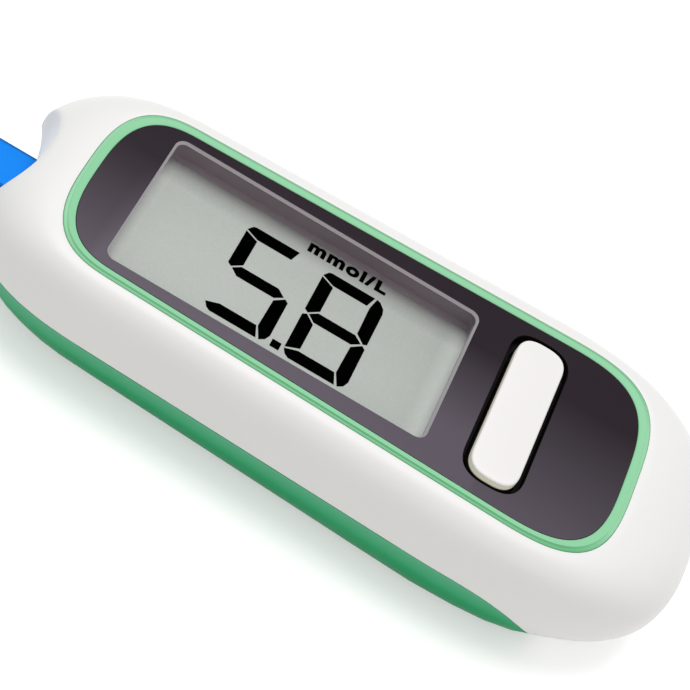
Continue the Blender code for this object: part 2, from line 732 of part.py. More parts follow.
def build_panel(parent):
    """Trim ring in the pocket, and the display panel inside the ring."""
    ring_top = BODY_HEIGHT + RING_RISE
    outer = RING
    step = RING.grown(-RING_STEP_WIDTH)
    ring = new_object(
        "bezel_ring",
        loft([
            level(outer.points(), DECK_TOP),
            level(outer.points(), ring_top - RING_STEP_DROP),
            level(step.points(), ring_top - RING_STEP_DROP / 2),
            level(step.grown(-RING_STEP_DROP / 2).points(), ring_top),
        ]),
        finish=MINT_PLASTIC, parent=parent,
    )
    opening = new_object(
        "ring_opening", plate(LENS.grown(SEAM_GAP).points(), DECK_TOP - CUT_OVERRUN, ring_top + CUT_OVERRUN),
        parent=parent,
    )
    cut(ring, opening)
    smooth(ring)
    lens = new_object(
        "display_lens", plate(LENS.points(), DECK_TOP, BODY_HEIGHT), finish=DARK_PANEL, parent=parent,
    )
    slot = new_object(
        "panel_button_slot",
        plate(
            button_outline(BUTTON_PANEL_GAP).points_along_y(),
            DECK_TOP - CUT_OVERRUN, BODY_HEIGHT + CUT_OVERRUN,
        ),
        parent=parent,
    )
    cut(lens, slot)
    smooth(lens)


def build_button(parent):
    """White cap on a black carrier, whose flange lies under the deck and whose post meets the switch."""
    top = BODY_HEIGHT + BUTTON_RISE
    flange_top = DECK_BOTTOM - SEAT_GAP
    flange_bottom = flange_top - BUTTON_FLANGE_THICKNESS
    origin = (BUTTON_X, 0, flange_top)
    cap = plate(button_outline(0).points_along_y(), flange_top, top)
    bevel_level(cap, top, BUTTON_EDGE, BUTTON_EDGE_STEPS)
    smooth(new_object("main_button", cap, origin=origin, finish=BUTTON_PLASTIC, parent=parent))
    carrier = new_object(
        "button_carrier",
        plate(button_outline(BUTTON_FLANGE).points_along_y(), flange_bottom, flange_top),
        origin=origin, finish=BLACK_PLASTIC, parent=parent,
    )
    post = new_object(
        "button_post",
        drum(
            BUTTON_X, 0, switch_tip() + SEAT_GAP, flange_top - BUTTON_FLANGE_THICKNESS / 2,
            BUTTON_POST_RADIUS, sides=SCREW_SIDES,
        ),
        parent=parent,
    )
    join(carrier, post)
    smooth(carrier)


def switch_tip():
    return BOARD_TOP + SWITCH_HEIGHT + SWITCH_PLUNGER_RISE


def build_switch(parent):
    switch_top = BOARD_TOP + SWITCH_HEIGHT
    body = new_object(
        "tact_switch_body",
        box(
            centred(BUTTON_X, SWITCH_SIZE), centred(0, SWITCH_SIZE), (BOARD_TOP, switch_top),
            corner=SWITCH_CORNER,
        ),
        finish=BLACK_PLASTIC, parent=parent,
    )
    well_floor = switch_top - SWITCH_PLUNGER_DEPTH - BUTTON_TRAVEL - SEAT_GAP
    well = new_object(
        "switch_well",
        drum(BUTTON_X, 0, well_floor, switch_top + CUT_OVERRUN, SWITCH_PLUNGER_RADIUS + SEAT_GAP),
        parent=parent,
    )
    cut(body, well)
    smooth(body)
    plunger = new_object(
        "tact_switch_plunger",
        drum(BUTTON_X, 0, switch_top - SWITCH_PLUNGER_DEPTH, switch_tip(), SWITCH_PLUNGER_RADIUS),
        origin=(BUTTON_X, 0, switch_top), finish=STEEL, parent=parent,
    )
    smooth(plunger)


def build_display(parent):
    """Liquid crystal cell, its frame and the conductive rubber strips down to the board."""
    x_span = centred(WINDOW_CENTRE, WINDOW_LENGTH + 2 * LCD_GLASS_MARGIN_X)
    y_span = centred(0, WINDOW_WIDTH + 2 * LCD_GLASS_MARGIN_Y)
    rear_y_span = (y_span[0] + LCD_CONTACT_LEDGE, y_span[1] - LCD_CONTACT_LEDGE)
    layers = (
        ("lcd_front_polariser", rear_y_span, LCD_FILM_BOTTOM, LCD_FILM_TOP, LCD_REFLECTOR),
        ("lcd_front_glass", y_span, LCD_FRONT_BOTTOM, LCD_FILM_BOTTOM, LCD_GLASS),
        ("lcd_rear_glass", rear_y_span, LCD_REAR_BOTTOM, LCD_FRONT_BOTTOM, LCD_GLASS),
        ("lcd_reflector", rear_y_span, LCD_REFLECTOR_BOTTOM, LCD_REAR_BOTTOM, LCD_REFLECTOR),
    )
    for name, y_limits, low, high, finish in layers:
        new_object(name, box(x_span, y_limits, (low, high)), finish=finish, parent=parent)
    frame = new_object(
        "lcd_frame",
        box(
            (x_span[0] - SEAT_GAP - LCD_FRAME_WALL, x_span[1] + SEAT_GAP + LCD_FRAME_WALL),
            (y_span[0] - SEAT_GAP - LCD_FRAME_WALL, y_span[1] + SEAT_GAP + LCD_FRAME_WALL),
            (BOARD_TOP, DECK_BOTTOM),
            corner=LCD_FRAME_CORNER,
        ),
        finish=BLACK_PLASTIC, parent=parent,
    )
    pocket = new_object(
        "lcd_pocket",
        box(
            (x_span[0] - SEAT_GAP, x_span[1] + SEAT_GAP), (y_span[0] - SEAT_GAP, y_span[1] + SEAT_GAP),
            (LCD_REFLECTOR_BOTTOM, DECK_BOTTOM + CUT_OVERRUN),
        ),
        parent=parent,
    )
    under = new_object(
        "chip_space",
        box(
            (x_span[0] - SEAT_GAP, x_span[1] + SEAT_GAP), (y_span[0] - SEAT_GAP, y_span[1] + SEAT_GAP),
            (BOARD_TOP - CUT_OVERRUN, LCD_SHELF_BOTTOM),
        ),
        parent=parent,
    )
    cut(frame, pocket)
    cut(frame, under)
    zebra_inner = rear_y_span[1] + SEAT_GAP
    for name, side in (("near", -1), ("far", 1)):
        strip_y = sorted((side * zebra_inner, side * (zebra_inner + ZEBRA_WIDTH)))
        slot_y = sorted((side * (zebra_inner - SEAT_GAP), side * (y_span[1] + SEAT_GAP)))
        zebra_slot = new_object(
            f"zebra_slot_{name}",
            box(
                (x_span[0] + SEAT_GAP, x_span[1] - SEAT_GAP), slot_y,
                (BOARD_TOP - CUT_OVERRUN, LCD_FRONT_BOTTOM),
            ),
            parent=parent,
        )
        cut(frame, zebra_slot)
        new_object(
            f"zebra_strip_{name}",
            box((x_span[0] + 2 * SEAT_GAP, x_span[1] - 2 * SEAT_GAP), strip_y, (BOARD_TOP, LCD_FRONT_BOTTOM)),
            finish=RUBBER, parent=parent,
        )


def board_outline():
    inside = BODY.grown(-(WALL + BOARD_WALL_GAP))
    return replace(
        inside, left=BOARD_LEFT, right=BOARD_RIGHT, cap_left=BOARD_CAP_PORT, cap_right=BOARD_CAP_BUTTON,
    )


def build_board(parent):
    board = new_object(
        "circuit_board", plate(board_outline().points(), BOARD_BOTTOM, BOARD_TOP),
        finish=BOARD_LAMINATE, parent=parent,
    )
    for index, (x, y) in enumerate(SCREW_PLACES, start=1):
        hole = new_object(
            f"board_hole_{index}",
            drum(
                x, y, BOARD_BOTTOM - CUT_OVERRUN, BOARD_TOP + CUT_OVERRUN,
                SCREW_SHANK_RADIUS + SEAT_GAP, sides=SCREW_SIDES,
            ),
            parent=parent,
        )
        cut(board, hole)


def build_board_parts(parent):
    for name, x, y, length, width, height, finish in BOARD_PARTS:
        new_object(
            name,
            box(centred(WINDOW_CENTRE + x, length), centred(y, width), (BOARD_TOP, BOARD_TOP + height)),
            finish=finish, parent=parent,
        )


def build_connector(parent):
    """Strip connector on the board, with three contact springs over the strip."""
    body = new_object(
        "strip_connector",
        box(
            (CONNECTOR_START, CONNECTOR_END), centred(0, CONNECTOR_WIDTH),
            (BOARD_TOP, BOARD_TOP + CONNECTOR_HEIGHT),
        ),
        finish=CONNECTOR_PLASTIC, parent=parent,
    )
    strip_low = STRIP_PLANE - STRIP_BASE_THICKNESS
    strip_high = STRIP_PLANE + STRIP_COVER_THICKNESS
    channel = new_object(
        "connector_channel",
        box(
            (CONNECTOR_START - CUT_OVERRUN, STRIP_INNER_END + SEAT_GAP),
            centred(0, STRIP_WIDTH + 2 * SEAT_GAP),
            (strip_low - SEAT_GAP, strip_high + SEAT_GAP),
        ),
        parent=parent,
    )
    cut(body, channel)
    contact_start = STRIP_INNER_END - STRIP_CONTACT_LENGTH + CONTACT_WIDTH
    contact_end = STRIP_INNER_END - CONTACT_WIDTH
    contact_low = STRIP_PLANE + SEAT_GAP
    contact_high = BOARD_TOP + CONNECTOR_HEIGHT
    for index in range(3):
        y = (index - 1) * CONTACT_PITCH
        window = new_object(
            f"contact_window_{index + 1}",
            box(
                (contact_start, contact_end),
                centred(y, CONTACT_WIDTH + 2 * SEAT_GAP),
                (STRIP_PLANE, contact_high + CUT_OVERRUN),
            ),
            parent=parent,
        )
        cut(body, window)
        new_object(
            f"strip_contact_{index + 1}",
            leaf_spring(contact_start, contact_end, y, contact_low, contact_high),
            finish=GOLD_SPRING, parent=parent,
        )


def leaf_spring(x_start, x_end, y, z_low, z_high):
    """Bent leaf: a flat at the top that turns down to a contact tip near the strip."""
    inner_start = x_start + SEAT_GAP
    inner_end = x_end - SEAT_GAP
    middle = (inner_start + inner_end) / 2
    centre_line = [
        (inner_end, z_high - CONTACT_THICKNESS),
        (inner_end - CONTACT_WIDTH, z_high - CONTACT_THICKNESS),
        (middle, z_low + CONTACT_THICKNESS / 2),
        (inner_start + CONTACT_WIDTH, z_low + CONTACT_THICKNESS * 2),
    ]
    profile = thick_line(centre_line, CONTACT_THICKNESS)
    low, high = centred(y, CONTACT_WIDTH)
    return loft([[(x, low, z) for x, z in profile], [(x, high, z) for x, z in profile]])


def thick_line(points, thickness):
    """Closed profile of even thickness round an open line of (x, z) points."""
    left = []
    right = []
    for index, (x, z) in enumerate(points):
        before = Vector(points[max(index - 1, 0)])
        after = Vector(points[min(index + 1, len(points) - 1)])
        here = Vector((x, z))
        into = (here - before).normalized() if index > 0 else (after - here).normalized()
        out = (after - here).normalized() if index < len(points) - 1 else into
        along = (into + out).normalized()
        normal = Vector((-along.y, along.x))
        spread = thickness / 2 / max(normal.dot(Vector((-into.y, into.x))), 0.5)
        left.append(tuple(here + normal * spread))
        right.append(tuple(here - normal * spread))
    return left + list(reversed(right))


def build_battery(parent):
    """Coin cell with its cap towards the board, and its two contacts."""
    can_top = CELL_TOP - SEAT_GAP
    sides = 2 * ROUND_SIDES
    can = new_object(
        "coin_cell_can", drum(CELL_X, 0, CELL_BOTTOM, can_top, CELL_RADIUS, sides=sides),
        finish=STEEL, parent=parent,
    )
    groove = new_object(
        "cell_groove",
        drum(
            CELL_X, 0, can_top - CELL_CAP_HEIGHT, can_top + CUT_OVERRUN,
            CELL_CAP_RADIUS + CELL_GASKET_WIDTH, sides=sides,
        ),
        parent=parent,
    )
    cut(can, groove)
    smooth(can)
    cap_low = can_top - CELL_CAP_HEIGHT
    gasket = new_object(
        "coin_cell_gasket",
        drum(CELL_X, 0, cap_low, can_top, CELL_CAP_RADIUS + CELL_GASKET_WIDTH - MOVING_GAP, sides=sides),
        finish=BLACK_PLASTIC, parent=parent,
    )
    gasket_bore = new_object(
        "gasket_bore",
        drum(
            CELL_X, 0, cap_low - CUT_OVERRUN, can_top + CUT_OVERRUN, CELL_CAP_RADIUS + MOVING_GAP,
            sides=sides,
        ),
        parent=parent,
    )
    cut(gasket, gasket_bore)
    smooth(gasket)
    cap = drum(CELL_X, 0, cap_low, CELL_TOP, CELL_CAP_RADIUS, sides=sides)
    smooth(new_object("coin_cell_cap", cap, finish=STEEL, parent=parent))
    negative_line = [
        (CELL_X - LEAF_WIDTH, BOARD_BOTTOM - LEAF_THICKNESS / 2),
        (CELL_X - LEAF_WIDTH / 2, BOARD_BOTTOM - LEAF_THICKNESS / 2),
        (CELL_X, CELL_TOP + SEAT_GAP + LEAF_THICKNESS / 2),
        (CELL_X + LEAF_WIDTH / 2, CELL_TOP + SEAT_GAP + LEAF_THICKNESS / 2),
    ]
    leaf_across("battery_contact_negative", negative_line, parent)
    outer = CELL_X + CELL_RADIUS + SEAT_GAP + LEAF_THICKNESS / 2
    positive_line = [
        (outer + LEAF_WIDTH / 2, BOARD_BOTTOM - LEAF_THICKNESS / 2),
        (outer, BOARD_BOTTOM - LEAF_THICKNESS / 2),
        (outer, CELL_BOTTOM + CELL_HEIGHT / 2),
    ]
    leaf_across("battery_contact_positive", positive_line, parent)


def leaf_across(name, line, parent):
    profile = thick_line(line, LEAF_THICKNESS)
    low, high = centred(0, LEAF_WIDTH)
    new_object(
        name, loft([[(x, low, z) for x, z in profile], [(x, high, z) for x, z in profile]]),
        finish=GOLD_SPRING, parent=parent,
    )


def build_door(parent):
    """Door plate in the base with two hooks at its hinge end, ribs under the cell and a thumb notch."""
    hinge = (DOOR_LEFT, 0, 0)
    door = new_object(
        "battery_door",
        box(
            (DOOR_LEFT + MOVING_GAP, DOOR_RIGHT - MOVING_GAP),
            centred(0, DOOR_WIDTH - 2 * MOVING_GAP),
            (0, DOOR_THICKNESS),
            corner=DOOR_CORNER - MOVING_GAP,
        ),
        origin=hinge, finish=GREEN_PLASTIC, parent=parent,
    )
    hook_low = FLOOR + HOOK_SPACE
    hook_top = hook_low + HOOK_THICKNESS
    for name, side in (("near", -1), ("far", 1)):
        y_span = centred(side * HOOK_SPACING / 2, HOOK_WIDTH)
        neck = new_object(
            f"hook_neck_{name}",
            box((HOOK_NECK_LEFT, HOOK_NECK_LEFT + HOOK_NECK), y_span, (DOOR_THICKNESS / 2, hook_top)),
            parent=parent,
        )
        tip = new_object(
            f"hook_tip_{name}",
            box((HOOK_NECK_LEFT - HOOK_REACH, HOOK_NECK_LEFT + HOOK_NECK / 2), y_span, (hook_low, hook_top)),
            parent=parent,
        )
        join(door, neck)
        join(door, tip)
        rib = new_object(
            f"door_rib_{name}",
            box(
                centred(CELL_X, DOOR_RIB_LENGTH),
                centred(side * DOOR_RIB_SPACING / 2, DOOR_RIB_WIDTH),
                (DOOR_THICKNESS / 2, DOOR_THICKNESS + DOOR_RIB_HEIGHT),
            ),
            parent=parent,
        )
        join(door, rib)
    thumb = new_object(
        "thumb_notch",
        drum(
            DOOR_RIGHT - THUMB_REACH + THUMB_RADIUS, 0, -THUMB_DEPTH, THUMB_DEPTH, THUMB_RADIUS + THUMB_DEPTH,
            top_radius=THUMB_RADIUS - THUMB_DEPTH,
        ),
        parent=parent,
    )
    cut(door, thumb)
    smooth(door)


def build_screws(parent):
    head_low = SCREW_HEAD_SEAT - SCREW_HEAD_HEIGHT
    for index, (x, y) in enumerate(SCREW_PLACES, start=1):
        head = drum(x, y, head_low, SCREW_HEAD_SEAT, SCREW_HEAD_RADIUS, sides=SCREW_SIDES)
        screw = new_object(f"housing_screw_{index}", head, finish=STEEL, parent=parent)
        shank = new_object(
            f"screw_shank_{index}",
            drum(
                x, y, SCREW_HEAD_SEAT - SEAT_GAP, SCREW_HEAD_SEAT + SCREW_LENGTH,
                SCREW_SHANK_RADIUS, sides=SCREW_SIDES,
            ),
            parent=parent,
        )
        slot = new_object(
            f"screw_drive_{index}",
            box(
                centred(x, 2 * SCREW_HEAD_RADIUS + CUT_OVERRUN), centred(y, SCREW_SLOT_WIDTH),
                (head_low - CUT_OVERRUN, head_low + SCREW_SLOT_DEPTH),
            ),
            parent=parent,
        )
        join(screw, shank)
        cut(screw, slot)
        smooth(screw)


def build_strip(parent):
    """Test strip: a base film with bare contact pads at its inner end under a shorter cover film."""
    outer = STRIP_INNER_END - STRIP_LENGTH
    origin = (PORT_MOUTH, 0, STRIP_PLANE)
    new_object(
        "test_strip_base",
        box(
            (outer, STRIP_INNER_END), centred(0, STRIP_WIDTH),
            (STRIP_PLANE - STRIP_BASE_THICKNESS, STRIP_PLANE),
            corner=STRIP_CORNER, corner_steps=3,
        ),
        origin=origin, finish=STRIP_FILM, parent=parent,
    )
    new_object(
        "test_strip_cover",
        box(
            (outer, STRIP_INNER_END - STRIP_CONTACT_LENGTH), centred(0, STRIP_WIDTH),
            (STRIP_PLANE, STRIP_PLANE + STRIP_COVER_THICKNESS),
            corner=STRIP_CORNER, corner_steps=3,
        ),
        origin=origin, finish=STRIP_BLUE, parent=parent,
    )


def main():
    clear_scene()
    centre = bpy.data.objects.new("meter_centre", None)
    collection(BODY_COLLECTION).objects.link(centre)
    centre.location = (STRIP_OVERHANG / 2 * MM, 0, 0)
    build_covers(centre)
    build_panel(centre)
    build_button(centre)
    build_switch(centre)
    build_display(centre)
    build_board(centre)
    build_board_parts(centre)
    build_connector(centre)
    build_battery(centre)
    build_door(centre)
    build_screws(centre)
    build_strip(centre)


main()
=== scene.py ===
"""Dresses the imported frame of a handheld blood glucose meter.

Run as a script, it builds the covers, trim ring, display, button, battery door and test strip as
fine pieces round the CAD frame, gives every piece its finish, and sets up a plain pale stage.
"""

import json
import math
from dataclasses import dataclass, replace

import bmesh
import bpy
from bpy.props import FloatProperty, FloatVectorProperty, PointerProperty, StringProperty
from mathutils import Matrix, Quaternion, Vector

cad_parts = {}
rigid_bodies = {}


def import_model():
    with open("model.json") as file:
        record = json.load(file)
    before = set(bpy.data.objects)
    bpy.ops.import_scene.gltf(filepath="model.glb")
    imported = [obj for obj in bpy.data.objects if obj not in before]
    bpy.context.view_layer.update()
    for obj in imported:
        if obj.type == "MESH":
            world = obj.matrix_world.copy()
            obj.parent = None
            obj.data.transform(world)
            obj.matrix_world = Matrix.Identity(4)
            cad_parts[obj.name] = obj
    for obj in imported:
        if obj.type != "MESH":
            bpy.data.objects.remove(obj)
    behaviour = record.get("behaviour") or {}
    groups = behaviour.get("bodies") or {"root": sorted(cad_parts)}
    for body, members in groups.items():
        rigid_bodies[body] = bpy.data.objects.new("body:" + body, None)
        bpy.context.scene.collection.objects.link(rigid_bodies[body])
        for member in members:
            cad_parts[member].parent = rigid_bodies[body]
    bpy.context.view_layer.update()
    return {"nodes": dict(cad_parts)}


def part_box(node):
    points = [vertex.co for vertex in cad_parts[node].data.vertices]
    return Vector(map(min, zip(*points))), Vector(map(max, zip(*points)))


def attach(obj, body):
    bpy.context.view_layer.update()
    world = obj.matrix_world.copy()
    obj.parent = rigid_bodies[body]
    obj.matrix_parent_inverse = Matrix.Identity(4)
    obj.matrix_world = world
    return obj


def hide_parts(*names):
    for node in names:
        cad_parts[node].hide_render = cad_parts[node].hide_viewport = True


bl_info = {
    "name": "Blood glucose meter",
    "version": (1, 0, 0),
    "blender": (4, 5, 0),
    "location": "View3D > Sidebar > Meter",
    "description": "Builds the covers, trim, display, button and strip of a meter round its CAD frame",
    "category": "Object",
}

MM = 0.001

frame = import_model()

# Fineness of the skins, with angles in degrees
BUTTON_CAP_STEPS = 44
SIDE_STEPS = 20
PORT_CAP_STEPS = 110
BUTTON_SIDE_STEPS = (28, 10, 28)
SKIN_ROWS = 56
INNER_ROWS = 18
ROUND_ROWS = 7
CORNER_STEPS = 10
BLOCK_CORNER_STEPS = 8
EASE_SEGMENTS = 2
HALVINGS = 40
FLAT_ANGLE = 0.4
SMOOTH_ANGLE = 32
SHARP_ANGLE = 40

# Merge distances, the gap that keeps two faces apart and a cutter's overshoot, in millimetres
WELD = 1e-4
NODE_WELD = 5 * WELD
HAIR = 0.01
CUT_THROUGH = 1.0

# Housing, in millimetres from the middle of the body
BODY_LENGTH = 92.4
BODY_HEIGHT = 15.8
BOX_CLEARANCE = 0.004
PARTING_HEIGHT = 7.9
BASE_INSET = 4.8
BASE_RISE_PORT = 10.3
BASE_RISE_BUTTON = 9.0
SHOULDER_ROUND = 2.3
HULL_ROUND = 1.8
WALL = 1.6
FLOOR = 1.8
SHOULDER_RELIEF = 0.6
SEAM_GAP = 0.12
PARTING_DROP_START = 21.0
PARTING_DROP_END = 34.0
PARTING_DROP_ROUND = 2.2
SPINE_END = 30.0
DECK_TOP = 14.2
DECK_BOTTOM = 13.0
SCOOP_DEPTH = 3.27
SCOOP_RADIUS = 16.0
SCOOP_LEAN = 1.25
SCOOP_LEAN_POWER = 1.8
SCOOP_LEDGE = 0.9
CREST_SOFTNESS = 0.8
BELLY = 0.75
BELLY_START = -10.0
BELLY_FULL = 20.0
BELLY_FADE = 29.0
BELLY_END = 37.0
BELLY_LOW = 1.5
BELLY_RIM = (0.86, 0.96)
SLOT_WIDTH = 7.0
SLOT_LOW = 7.25
SLOT_HIGH = 8.45
POCKET_LIP = 0.08
LIP_EDGE = 0.3 * POCKET_LIP
DECK_HOLE_GAP = 1.0

# Display panel, its window and the ring round it
RING_WIDTH = 1.27
RING_PORT_END = 1.36
RING_BUTTON_END = 1.46
RING_GAP = 0.05
RING_CREST = 0.17
RING_INNER_SHARE = 0.04
RING_FOOT = DECK_TOP - BODY_HEIGHT
WINDOW_CENTRE = -9.7
WINDOW_CORNER = 1.35
WINDOW_CHAMFER = 0.3
LINER = 0.03
LEDGE_TOP = 13.2
LEDGE_FAR = 9.83
PANEL_EDGE = 0.04
PANE_THICKNESS = 0.8
PANE_EDGE = 0.05
BEZEL_WALL = 0.5
LCD_TOP = 12.8
INK_THICKNESS = 0.03
READING_START = (-18.05, -7.34)
DIGIT_PITCH = 10.3
DIGIT_DROP = 0.18
SEGMENT_BAR = 0.78
SEGMENT_TIP = 0.72
SEGMENT_NECK = 1.15
SEGMENT_HEEL = 0.45
POINT_GAP = 0.45
POINT_RISE = 0.22
POINT_SIZE = (1.16, 1.1)
UNIT_PLACE = (-10.8, 8.05)
UNIT_WIDTH = 10.55
UNIT_LETTERS = 2.75
UNIT_WEIGHT = 0.125
UNIT_SPACING = 1.16

# Button
BUTTON_X = 19.15
BUTTON_FOOT = 12.7
BUTTON_TOP = 16.8
BUTTON_ROUNDING = 0.28
BUTTON_EDGE_DROP = 0.1
BUTTON_SHIFT = -0.17
BUTTON_CORNER = 2.8
OPENING_GAP = 0.82
OPENING_SHIFT = 0.22
WELL_FLOOR = 14.3
WELL_SHEET = 0.08
WELL_RIM_DROP = 0.1
WELL_INNER_GAP = 0.2
WELL_WALL_SHARE = 0.04

# Strip, cell and fasteners
STRIP_HALF_WIDTH = 3.1
STRIP_EDGE = 0.05
DOOR_EDGE = 0.12
SCREW_EDGE = 0.12
CELL_CAN_EDGE = 0.25
CELL_CAP_EDGE = 0.15

# Where the finishes change over the body, and where their painted light and shade lie, in millimetres
PRINT_PAINTED_SHEEN_ACROSS = (-12.5, 6.0)
PRINT_PAINTED_SHEEN_MIDDLE = -7.0
PRINT_PAINTED_SHEEN_ENDS = (22.5, 25.0)
SHELL_PAINTED_SHADE = (1.5, 6.0)
SHELL_PAINTED_LIGHT = (5.0, PARTING_HEIGHT)
RIM_PAINTED_LIGHT = (19.2, 20.2)
BEZEL_PAINTED_LIGHT = (20.2, 20.5)
TRIM_PAINTED_SHADE_NEAR = (-13.5, -8.0)
TRIM_PAINTED_SHADE_FAR = (8.0, 13.5)
DISPLAY_PAINTED_SHADE_ALONG = (-20.0, 12.0)
DISPLAY_PAINTED_SHADE_ACROSS = (-9.0, 5.0)
DISPLAY_SHADE = (6.4, 10.2)
DISPLAY_PAINTED_LIGHT_PORT_END = (-20.4, -18.8)
DISPLAY_PAINTED_LIGHT_BUTTON_END = (17.8, 20.2)
CAP_WALL = (15.95, 16.5)
CAP_ABOVE_WELL = (15.62, 15.82)
CAP_PAINTED_GLOW = (16.2, 16.75)
STRIP_SHADE = (STRIP_HALF_WIDTH - 0.5, STRIP_HALF_WIDTH - 0.2)

# Noise of the finishes, in cells to the metre
CLOUDS = 55.0
POLISH = 420.0
GRAIN = 2600.0
SPECKLE = 5200.0

# Stage, in metres
FLOOR_RADIUS = 3.0
FLOOR_GLOW = 0.42
ROOM_LIGHT = 0.5
KEY_LAMP = {"place": (-0.04, 0.24, 0.75), "size": 0.6, "power": 3.6, "tint": (1.0, 1.0, 1.0)}
FRONT_LAMP = {"place": (0.35, -0.65, 0.35), "size": 0.5, "power": 0.76, "tint": (1.0, 0.88, 0.82)}

# Camera that took the photograph: place, sensor and lens in millimetres, clip in metres
CAMERA_PLACE = (-5.7966, -159.5625, 196.5750)
CAMERA_TURN = (0.90714298, 0.32782034, -0.11871479, 0.2356528)
CAMERA_SENSOR = 36.0
CAMERA_LENS = 110.73
CAMERA_CLIP = (0.01, 10.0)

# Plain colours
BLACK = (0.0, 0.0, 0.0)
WHITE = (1.0, 1.0, 1.0)


def length(name, millimetres, description):
    return FloatProperty(
        name=name, description=description, default=millimetres * MM, unit="LENGTH", precision=5,
    )


def colour(name, value, description):
    return FloatVectorProperty(
        name=name, description=description, default=value, size=3, min=0.0, max=1.0, subtype="COLOR",
    )


class MeterSizes(bpy.types.PropertyGroup):
    """Sizes of the visible details that a user may change."""
    window_length: length("Window length", 41.0, "Length of the display window along the meter")
    window_width: length("Window width", 21.0, "Width of the display window across the meter")
    digit_width: length("Digit width", 8.3, "Width of one digit of the reading")
    digit_height: length("Digit height", 14.45, "Height of one digit of the reading")
    digit_stroke: length("Digit stroke", 1.62, "Width of one segment of a digit")
    digit_gap: length("Segment gap", 0.24, "Gap between two segments of a digit")
    unit_height: length("Unit height", 2.05, "Height of the capital letter of the unit")
    button_length: length("Button length", 21.7, "Length of the button across the meter")
    button_width: length("Button width", 6.2, "Width of the button along the meter")


class MeterColours(bpy.types.PropertyGroup):
    """Base colours of the finishes, in linear light."""
    white: colour("Housing white", (0.825, 0.822, 0.81), "Upper cover")
    green: colour("Housing green", (0.012, 0.37, 0.135), "Lower cover and battery door")
    mint: colour("Trim mint", (0.275, 0.64, 0.37), "Inner slope of the trim ring")
    # The step and ledge colours are painted shade, mixed into the trim's near side, and into the ledge's far
    # side
    mint_step_painted_shade: colour("Trim step", (0.13, 0.44, 0.21), "Outer slope of the trim ring")
    mint_ledge_painted_shade: colour("Trim ledge", (0.095, 0.43, 0.18), "Ledge outside the slope of the trim ring")
    panel: colour("Panel black", (0.010, 0.005, 0.009), "Glossy print of the display panel")
    display: colour("Display grey", (0.602, 0.64, 0.602), "Face of the liquid crystal display")
    ink: colour("Reading black", (0.0002, 0.0004, 0.0002), "Dark segments of the reading")
    button: colour("Button white", (0.825, 0.81, 0.805), "Face of the button")
    # The button's lower wall is painted a warm cream that stands in for light shining through it
    button_wall_painted_warmth: colour("Button foot", (0.97, 0.93, 0.74), "Lower wall of the button")
    strip: colour("Strip blue", (0.001, 0.25, 0.91), "Cover film of the test strip")
    strip_edge: colour("Strip edge", (0.006, 0.17, 0.66), "Base film of the test strip")


@dataclass(frozen=True)
class Outline:
    """Closed outline, symmetric about X: straight tapered sides with a superelliptic cap at each end."""
    left: float
    right: float
    half_width: float
    taper: float
    cap_left: float
    cap_right: float
    round_left: float
    round_right: float

    def grown(self, distance):
        return replace(
            self,
            left=self.left - distance,
            right=self.right + distance,
            half_width=self.half_width + distance,
            cap_left=self.cap_left + distance,
            cap_right=self.cap_right + distance,
        )

    def half_width_at(self, x):
        return self.half_width + self.taper * x

    def reach_at(self, x):
        """Half width at x, with the right-hand cap counted in."""
        along = min(max((x - self.right) / self.cap_right + 1, 0.0), 1.0)
        return self.half_width_at(x) * (1 - along ** self.round_right) ** (1 / self.round_right)

    def points(self, right_steps=BUTTON_CAP_STEPS, side_steps=SIDE_STEPS, left_steps=PORT_CAP_STEPS):
        """Points anticlockwise from the right-hand tip, in the same order for every outline."""
        upper = []
        for step in range(right_steps):
            angle = 0.5 * math.pi * step / right_steps
            x = self.right - self.cap_right * (1 - math.cos(angle) ** (2 / self.round_right))
            upper.append((x, self.half_width_at(x) * math.sin(angle) ** (2 / self.round_right)))
        side_start = self.right - self.cap_right
        side_end = self.left + self.cap_left
        for step in range(side_steps):
            x = side_start + (side_end - side_start) * step / side_steps
            upper.append((x, self.half_width_at(x)))
        for step in range(left_steps, -1, -1):
            angle = 0.5 * math.pi * step / left_steps
            x = self.left + self.cap_left * (1 - math.cos(angle) ** (2 / self.round_left))
            upper.append((x, self.half_width_at(x) * math.sin(angle) ** (2 / self.round_left)))
        return upper + [(x, -y) for x, y in reversed(upper[1:-1])]


BODY = Outline(
    left=-BODY_LENGTH / 2, right=BODY_LENGTH / 2, half_width=18.4, taper=0.0437,
    cap_left=19.5, cap_right=34.1, round_left=2.78, round_right=2.94,
).grown(-BOX_CLEARANCE)
BASE = replace(
    BODY.grown(-BASE_INSET), left=BODY.left + BASE_RISE_PORT, right=BODY.right - BASE_RISE_BUTTON,
)
PANEL = Outline(
    left=-35.95, right=33.73, half_width=12.76, taper=0.0339,
    cap_left=8.1, cap_right=13.7, round_left=2.9, round_right=3.4,
)
RING = replace(
    PANEL.grown(RING_WIDTH), left=PANEL.left - RING_PORT_END, right=PANEL.right + RING_BUTTON_END,
)
SCOOP_CENTRE = BODY.left + SCOOP_DEPTH - SCOOP_RADIUS

CENTRE_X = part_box("top_cover")[1].x - BODY_LENGTH / 2 * MM
TO_FRAME = Matrix.Translation((CENTRE_X, 0, 0)) @ Matrix.Scale(MM, 4)


def frame_x(x):
    """Place along the frame's X, in metres, of a place in millimetres from the body's middle."""
    return CENTRE_X + x * MM


def level(points, z):
    return [Vector((x, y, z)) for x, y in points]


